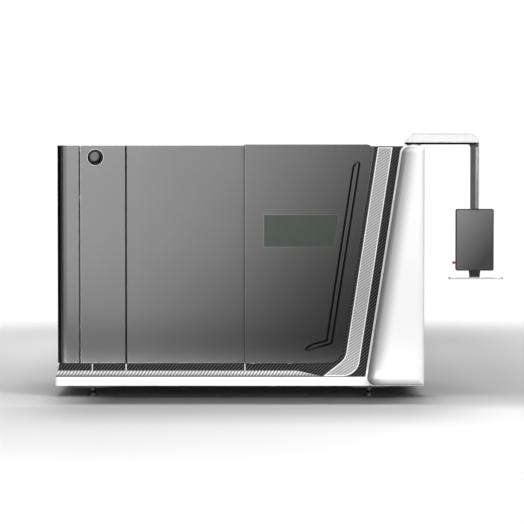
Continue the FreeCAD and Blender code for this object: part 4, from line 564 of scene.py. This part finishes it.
# %% Paints, plastics and rubber
surface("frame_paint", grey(0.075), grey(0.055), scale=4.0, roughness=0.5, grain=260.0, bump=0.12, edge=0.3,
        edge_tone=grey(0.22), dust=0.6)
surface("cabinet_grey", (0.33, 0.34, 0.35, 1), (0.29, 0.30, 0.31, 1), roughness=0.5, grain=240.0, bump=0.12, edge=0.25,
        edge_tone=grey(0.5), dust=0.4)
dark_plastic = surface("dark_plastic", grey(0.06), grey(0.045), scale=5.0, roughness=0.42, grain=700.0, bump=0.08,
                       edge=0.35, edge_tone=grey(0.25))
surface("black_rubber", grey(0.025), grey(0.018), scale=8.0, roughness=0.75, grain=500.0, bump=0.2, dust=0.3)
surface("motor_black", grey(0.035), grey(0.025), scale=6.0, roughness=0.45, grain=220.0, bump=0.25, edge=0.4,
        edge_tone=grey(0.2), dust=0.3)
surface("red_plastic", (0.60, 0.018, 0.012, 1), (0.48, 0.012, 0.010, 1), scale=20.0, roughness=0.32, grain=900.0,
        bump=0.04, edge=0.3, edge_tone=(0.8, 0.12, 0.09, 1), coat=0.3)
groove_black = surface("groove_black", grey(0.006), grey(0.004), scale=8.0, roughness=0.8, grain=500.0, bump=0.1,
                       specular=0.1)
print("paints, plastics and rubber")

# %% [markdown]
# ### The badge's face
# The dome of the badge is black, with a painted highlight: a grey middle that sits a little up and to the left. The
# distance from that middle, in the dome's own coordinates, fades one tone into the other.

# %% Badge face
badge_face = surface("badge_face", grey(0.004), grey(0.003), scale=6.0, roughness=0.25, spread=0.03, grain=80.0,
                     bump=0.003, specular=0.12)
tree = badge_face.node_tree
badge = (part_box("badge_dome")[0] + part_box("badge_dome")[1]) / 2
here = step(tree, "TexCoord").outputs["Object"]
aside = step(tree, "VectorMath", "DISTANCE", in0=here, in1=badge + Vector((-0.014, 0, 0.012)))
near = step(tree, "MapRange", Value=aside.outputs["Value"], From_Min=0.052, From_Max=0.034)
# Painted highlight on the dome, a little up and to the left.
recolour(badge_face, near.outputs["Result"], grey(0.20))
print("badge at", [round(c, 3) for c in badge])

# %% [markdown]
# ### Metals
# The nozzle is copper and the feet are dark zinc. Rails, racks and pinions are ground steel, whose streaks
# run along X, and the slats' streaks run along Y. Galvanised sheet has even blotches instead.

# %% Metals
surface("copper", (0.78, 0.36, 0.20, 1), (0.62, 0.26, 0.14, 1), scale=30.0, roughness=0.28, metallic=1.0, edge=0.4,
        edge_tone=(0.95, 0.6, 0.4, 1))
surface("zinc", (0.060, 0.062, 0.066, 1), (0.035, 0.036, 0.040, 1), scale=18.0, roughness=0.42, spread=0.2,
        metallic=0.6, grain=160.0, bump=0.10, edge=0.4, edge_tone=grey(0.3), dust=0.4)


def steel_finish(name, light, dark, stretch, roughness):
    """Bare steel with streaks from rolling or grinding."""
    made = surface(name, grey(light), grey(dark), scale=6.0, roughness=roughness, metallic=1.0, edge=0.5,
                   edge_tone=grey(0.85), dust=0.3, width=0.002)
    tree = made.node_tree
    streak = use(tree, brushed, Stretch=stretch).outputs["Streak"]
    part_way = step(tree, "Math", "MULTIPLY", in0=streak, in1=0.5)
    recolour(made, part_way.outputs[0], grey(dark * 0.5))
    lift = step(tree, "Bump", Height=streak, Strength=0.12, Distance=0.0005)
    tree.links.new(lift.outputs["Normal"], tree.nodes["Principled BSDF"].inputs["Normal"])


steel_finish("steel", 0.62, 0.45, (4.0, 400.0, 400.0), 0.30)
steel_finish("galvanised", 0.50, 0.38, (30.0, 30.0, 30.0), 0.42)
steel_finish("slat_steel", 0.42, 0.26, (60.0, 3.0, 60.0), 0.5)
print(len(bpy.data.materials), "finishes")

# %% [markdown]
# ## Finishes on the CAD parts
# The imported record names each part's material slot, and most slots have a finish above of the same name.
# A few parts get another finish: some because painted light and shade change their tone over the part, others because
# their tone differs from their slot's.

# %% Dress the CAD parts
finishes = {m.name: m for m in bpy.data.materials}
slots = {entry["node"]: entry["material_slot"] for entry in frame["record"]["subparts"]}
# The ledge, column, corner panel and badge dome carry painted shade and highlight, and the grip's tub is black as
# painted shade in its recess.
own_finish = {"plinth_ledge": ledge_film, "column_cover": column_white, "corner_panel": corner_paint,
              "grip_tub": groove_black, "grip_bar": anthracite, "arm_bearing": white,
              "badge_dome": badge_face, "badge_ring": groove_black,
              "console_housing": console_black, "tray_bracket": console_black}
for name, item in nodes.items():
    chosen = own_finish.get(name) or finishes[slots[name]]
    item.data.materials.clear()
    item.data.materials.append(chosen)
print(len(slots), "parts dressed")

# %% [markdown]
# ## Soft shade on the floor
# Under wide light from above and behind, a machine this deep keeps a strip of floor in front of it dark.
# The strip, a weaker shade ahead of it and one at the right are toned into the paper, by place on the floor.

# %% Floor shade
tree = paper.node_tree
axes = place_in(tree)


def between(socket, start, end):
    """0 at start and 1 at end, eased."""
    ramp = step(tree, "MapRange", Value=socket, From_Min=start, From_Max=end)
    ramp.interpolation_type = "SMOOTHSTEP"
    return ramp.outputs["Result"]


def product(*parts):
    """Several masks and numbers multiplied together."""
    total = parts[0]
    for part in parts[1:]:
        total = step(tree, "Math", "MULTIPLY", in0=total, in1=part).outputs[0]
    return total


apron = product(between(axes["X"], -2.2, -1.0), between(axes["X"], 2.3, 1.4),
                between(axes["Y"], FRONT - 3.2, FRONT - 0.8), 0.42)
aside = product(between(axes["X"], 1.2, 2.1), between(axes["X"], 4.0, 2.2),
                between(axes["Y"], FRONT - 1.5, FRONT - 0.30), 0.34)
strip = product(between(axes["X"], -1.70, -0.95), between(axes["X"], 1.95, 1.30),
                between(axes["Y"], FRONT - 0.92, FRONT - 0.66), between(axes["Y"], FRONT + 0.30, FRONT + 0.05))
depth = step(tree, "MapRange", Value=axes["Y"], From_Min=FRONT - 0.75, From_Max=FRONT, To_Min=0.15, To_Max=0.035)
recolour(paper, apron, grey(0.0))
recolour(paper, aside, grey(0.0))
recolour(paper, strip, depth.outputs["Result"])
print("floor shaded to", round(FRONT - 3.2, 2), "m")

# %% [markdown]
# ## The small parts
# The rest are parts that the CAD leaves out. Each begins as a primitive at its own size and place, or as a face of the
# CAD part that it follows. It is shaped in edit mode, and gets its finish and its body from one short function. A mesh
# could be typed in by its vertices, but operators say what is done.

# %% Selecting
def choose(kind, test):
    """In edit mode: selects only the faces, edges or vertices that pass a test of the mesh."""
    bpy.ops.mesh.select_mode(type=kind)
    bpy.ops.mesh.select_all(action="DESELECT")
    bpy.ops.object.mode_set(mode="OBJECT")
    mesh = bpy.context.object.data
    for part in {"FACE": mesh.polygons, "EDGE": mesh.edges, "VERT": mesh.vertices}[kind]:
        part.select = test(part, mesh)
    bpy.ops.object.mode_set(mode="EDIT")


def pick(item):
    """Selects one object and makes it the active one."""
    bpy.ops.object.select_all(action="DESELECT")
    item.select_set(True)
    bpy.context.view_layer.objects.active = item
    return item


def pick_new(item):
    """Links a new object to the scene and picks it."""
    bpy.context.scene.collection.objects.link(item)
    return pick(item)


def select_all():
    """In edit mode: selects the whole mesh."""
    bpy.ops.mesh.select_all(action="SELECT")


# %% [markdown]
# Two starts serve most of the small parts: a block with its edges rounded off, and a turned disc with
# rounded rims and, where asked, a sunk middle.

# %% Blocks and discs
def block(low, high, round_off=0.001):
    """A box between two corners with its edges rounded off."""
    low, high = Vector(low), Vector(high)
    bpy.ops.object.select_all(action="DESELECT")
    bpy.ops.mesh.primitive_cube_add(size=1, location=(low + high) / 2, scale=high - low)
    bpy.ops.object.transform_apply(location=True, rotation=True, scale=True)
    bpy.ops.object.mode_set(mode="EDIT")
    select_all()
    bpy.ops.mesh.bevel(offset=round_off, segments=2, affect="EDGES")
    bpy.ops.object.mode_set(mode="OBJECT")
    return bpy.context.object


def disc(centre, radius, thick, forward=False, sides=32, round_off=0.001, bore=0.0, sink=0.0):
    """A turned disc with rounded rims. Its face looks up, or forward, and its middle is sunk where asked."""
    bpy.ops.object.select_all(action="DESELECT")
    bpy.ops.mesh.primitive_cylinder_add(vertices=sides, radius=radius, depth=thick)
    bpy.ops.object.mode_set(mode="EDIT")
    choose("EDGE", lambda e, m: abs(m.vertices[e.vertices[0]].co.z - m.vertices[e.vertices[1]].co.z) < 1e-6)
    bpy.ops.mesh.bevel(offset=round_off, segments=2, affect="EDGES")
    if bore:
        choose("FACE", lambda f, m: f.normal.z > 0.99 and len(f.vertices) > 4)
        bpy.ops.mesh.inset(thickness=radius - round_off - bore)
        bpy.ops.mesh.extrude_region_move(TRANSFORM_OT_translate={"value": (0, 0, -sink)})
    bpy.ops.object.mode_set(mode="OBJECT")
    made = bpy.context.object
    made.rotation_euler, made.location = (math.pi / 2 if forward else 0, 0, 0), centre
    bpy.ops.object.transform_apply(location=True, rotation=True, scale=True)
    return made


# %% [markdown]
# What repeats is modelled once, and each copy has its own mesh. The last function names a piece and tells
# the frame which body it rides on.

# %% Copying and finishing a piece
def joined(*items):
    """Several shapes as one piece."""
    bpy.ops.object.select_all(action="DESELECT")
    for item in items:
        item.select_set(True)
    bpy.context.view_layer.objects.active = items[0]
    bpy.ops.object.join()
    return bpy.context.object


def repeated(item, moves):
    """Copies of a shape, each with its own mesh, moved and then joined to the first."""
    copies = [item]
    for move in moves:
        copy = bpy.data.objects.new(item.name, item.data.copy())
        bpy.context.scene.collection.objects.link(copy)
        copy.location = move
        copies.append(copy)
    made = joined(*copies)
    bpy.ops.object.transform_apply(location=True, rotation=True, scale=True)
    return made


def finished(item, name, body, finish):
    """Names a piece, smooths it, and gives it its body and finish."""
    item.name = item.data.name = name
    pick(item)
    bpy.ops.object.shade_smooth_by_angle(angle=math.radians(35))
    item.data.materials.clear()
    item.data.materials.append(finish)
    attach(item, body)
    print(name, [round(c * 1000) for c in item.dimensions], "mm,", len(item.data.polygons), "faces")


def front_face_of(node, name):
    """A new object that is one flat face: the front of a CAD part. It is left in edit mode, all selected."""
    made = pick_new(bpy.data.objects.new(name, nodes[node].data.copy()))
    bpy.ops.object.mode_set(mode="EDIT")
    select_all()
    bpy.ops.mesh.remove_doubles(threshold=0.00002)
    bpy.ops.mesh.customdata_custom_splitnormals_clear()
    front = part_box(node)[0].y
    choose("FACE", lambda f, m: not (f.normal.y < -0.9 and abs(f.center.y - front) < 0.0005))
    bpy.ops.mesh.delete(type="FACE")
    select_all()
    bpy.ops.mesh.dissolve_limited(angle_limit=0.01)
    select_all()
    return made


# %% [markdown]
# ### Bright edges of the swoosh
# The silver strip has a thin bright bead along each edge. The bead follows the strip exactly, so it starts
# as a copy of the strip's face. Its triangles are merged and dissolved into one face, an inset draws a rim
# of even width all round, the middle is deleted, and Solidify lifts the rim.

# %% Swoosh beads
bead = front_face_of("swoosh_strip", "swoosh_beads")
bpy.ops.mesh.inset(thickness=0.008, use_boundary=True)
bpy.ops.mesh.delete(type="FACE")
bpy.ops.object.mode_set(mode="OBJECT")
lift = bead.modifiers.new("lift", "SOLIDIFY")
lift.thickness, lift.offset = 0.0016, 1
bpy.ops.object.modifier_apply(modifier="lift")
bead_white = surface("bead_white", grey(0.92), grey(0.88), scale=2.0, roughness=0.3, grain=400.0, bump=0.01, edge=0.2,
                     edge_tone=grey(0.97))
finished(bead, "swoosh_beads", "machine", bead_white)

# %% [markdown]
# ### Joint clips of the dark band
# The band comes in lengths, and a narrow bright clip covers each joint. A clip is a thin block whose top is
# moved back, so that it leans with the band.

# %% Band clips
band_top, ledge_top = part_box("plinth_band")[1].z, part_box("plinth_ledge")[1].z
foot_y, top_y, clip_wide, clip_thick = FRONT + 0.005, FRONT + 0.017, 0.008, 0.003
joints = [-1.195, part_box("service_door")[1].x + 0.004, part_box("door_skin")[0].x]
clip = block((joints[0] - clip_wide / 2, foot_y - clip_thick / 2, ledge_top + 0.002),
             (joints[0] + clip_wide / 2, foot_y + clip_thick / 2, band_top - 0.001), 0.0006)
bpy.ops.object.mode_set(mode="EDIT")
choose("VERT", lambda v, m: v.co.z > ledge_top + 0.03)
bpy.ops.transform.translate(value=(0, top_y - foot_y, 0))
bpy.ops.object.mode_set(mode="OBJECT")
clips = repeated(clip, [(x - joints[0], 0, 0) for x in joints[1:]])
finished(clips, "band_clips", "machine", bead_white)

# %% [markdown]
# ### Levelling foot sleeves
# Each foot's screw wears a black sleeve under its nut. A cylinder with bevelled rims, repeated four times.

# %% Foot sleeves
foot_x, foot_y = 1.195, 0.862
places = [(side * foot_x, end * foot_y) for side in (-1, 1) for end in (-1, 1)]
sleeve = disc((*places[0], 0.0395), 0.0235, 0.021, round_off=0.003)
sleeves = repeated(sleeve, [(x - places[0][0], y - places[0][1], 0) for x, y in places[1:]])
finished(sleeves, "foot_sleeves", "machine", groove_black)

# %% [markdown]
# ### Trim on the console's post and tray
# The post carries a light strip down its front, and the tray has dark end caps. Both are thin blocks laid
# on the CAD part, and each rides with it.

# %% Post strip and tray caps
low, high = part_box("arm_core")
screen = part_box("console_housing")
post_x = (screen[0].x + screen[1].x) / 2
strip = block((post_x + 0.004, low.y - 0.0012, screen[1].z + 0.006),
              (post_x + 0.024, low.y + 0.001, high.z - 0.035), 0.001)
strip_grey = surface("strip_grey", grey(0.36), grey(0.32), scale=4.0, roughness=0.35, grain=500.0, bump=0.02,
                     metallic=0.4, edge=0.3, edge_tone=grey(0.6))
finished(strip, "post_strip", "arm", strip_grey)

low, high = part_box("keyboard_tray")
caps = [block((x - 0.004, low.y + 0.02, low.z - 0.001), (x + 0.004, high.y - 0.03, high.z + 0.001), 0.001)
        for x in (low.x + 0.0042, high.x - 0.0042)]
finished(joined(*caps), "tray_caps", "tray", dark_plastic)

# %% [markdown]
# ### Dark trims of the arm
# A thin dark strip closes the joint along the arm's lower edges, front and back. It rides on the arm.

# %% Arm trims
low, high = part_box("arm_shell")
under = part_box("arm_bearing")[1].z
front_trim = block((low.x + 0.010, low.y - 0.0012, under - 0.006),
                   (high.x - 0.030, low.y + 0.0016, under + 0.010), 0.0008)
arm_trims = repeated(front_trim, [(0, high.y - low.y - 0.0004, 0)])
finished(arm_trims, "arm_trims", "arm", groove_black)

# %% [markdown]
# ### Gaskets in the panel joints
# Black rubber fills the joint at each side of the service door, and a flat lip covers the panels' edges.
# The lip on the door's free edge is a piece of its own, because it swings with the door.

# %% Joint gaskets
corner, leaf, middle = (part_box(name) for name in ("corner_panel", "service_door", "mid_panel"))
bottom, top, face = corner[0].z + 0.002, corner[1].z - 0.002, corner[0].y


def lip(left, right):
    """A flat strip of rubber over a panel's edge, between two values of X."""
    return block((left, face - 0.0012, bottom), (right, face + 0.002, top), 0.0005)


gasket = block((leaf[1].x + 0.0014, face + 0.001, bottom), (middle[0].x - 0.0004, face + 0.010, top), 0.001)
lips = [lip(corner[1].x - 0.006, corner[1].x - 0.0006), lip(middle[0].x + 0.0002, middle[0].x + 0.004)]
finished(joined(gasket, *lips), "joint_gaskets", "machine", groove_black)
door_lip = lip(leaf[1].x - 0.004, leaf[1].x - 0.0002)
finished(door_lip, "service_door_lip", "service_door", groove_black)

# %% [markdown]
# ### The badge's rim
# The badge sits in a black dish with a thin bright rim. Two turned discs with sunk middles make it: the
# rim first, then the dish inside it.

# %% Badge rim and dish
rim = disc((badge.x, face - 0.0030, badge.z), radius=0.0715, thick=0.0064, forward=True, sides=64, round_off=0.0008,
           bore=0.0675, sink=0.003)
finished(rim, "badge_rim", "service_door", bead_white)
dish = disc((badge.x, face - 0.0026, badge.z), radius=0.0672, thick=0.0052, forward=True, sides=64, round_off=0.0008,
            bore=0.0560, sink=0.003)
finished(dish, "badge_dish", "service_door", groove_black)

# %% [markdown]
# ### The grip's black rim, a painted shadow
# A flat black rim runs round the hand grip's slot, a dark sheet of painted shade that stands in for the shade in the
# groove. It follows the bar's outline, so it starts as a copy of the bar's front face. The face is dissolved to its
# outline, the outline is extruded into a low wall, and Solidify moves the wall out by the slot's width and makes it as
# wide as the rim.

# %% Grip rim
slot_wide, rim_wide, rim_high = 0.0115, 0.0070, 0.0012
rim = front_face_of("grip_bar", "grip_rim")
bpy.ops.mesh.bevel(offset=0.008, segments=5, affect="VERTICES")
select_all()
bpy.ops.mesh.delete(type="ONLY_FACE")
bpy.ops.mesh.select_mode(type="EDGE")
select_all()
bpy.ops.transform.translate(value=(0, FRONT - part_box("grip_bar")[0].y, 0))
bpy.ops.mesh.extrude_region_move(TRANSFORM_OT_translate={"value": (0, -rim_high, 0)})
select_all()
bpy.ops.mesh.normals_make_consistent(inside=False)
bpy.ops.object.mode_set(mode="OBJECT")
wall = rim.modifiers.new("wall", "SOLIDIFY")
wall.thickness, wall.offset, wall.use_even_offset = rim_wide, 1 + 2 * slot_wide / rim_wide, True
bpy.ops.object.modifier_apply(modifier="wall")
# The rim is painted shade round the slot.
finished(rim, "grip_rim", "door", groove_black)

# %% [markdown]
# ## The end
# The last line measures the box of the whole object.

# %% The end
low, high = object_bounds()
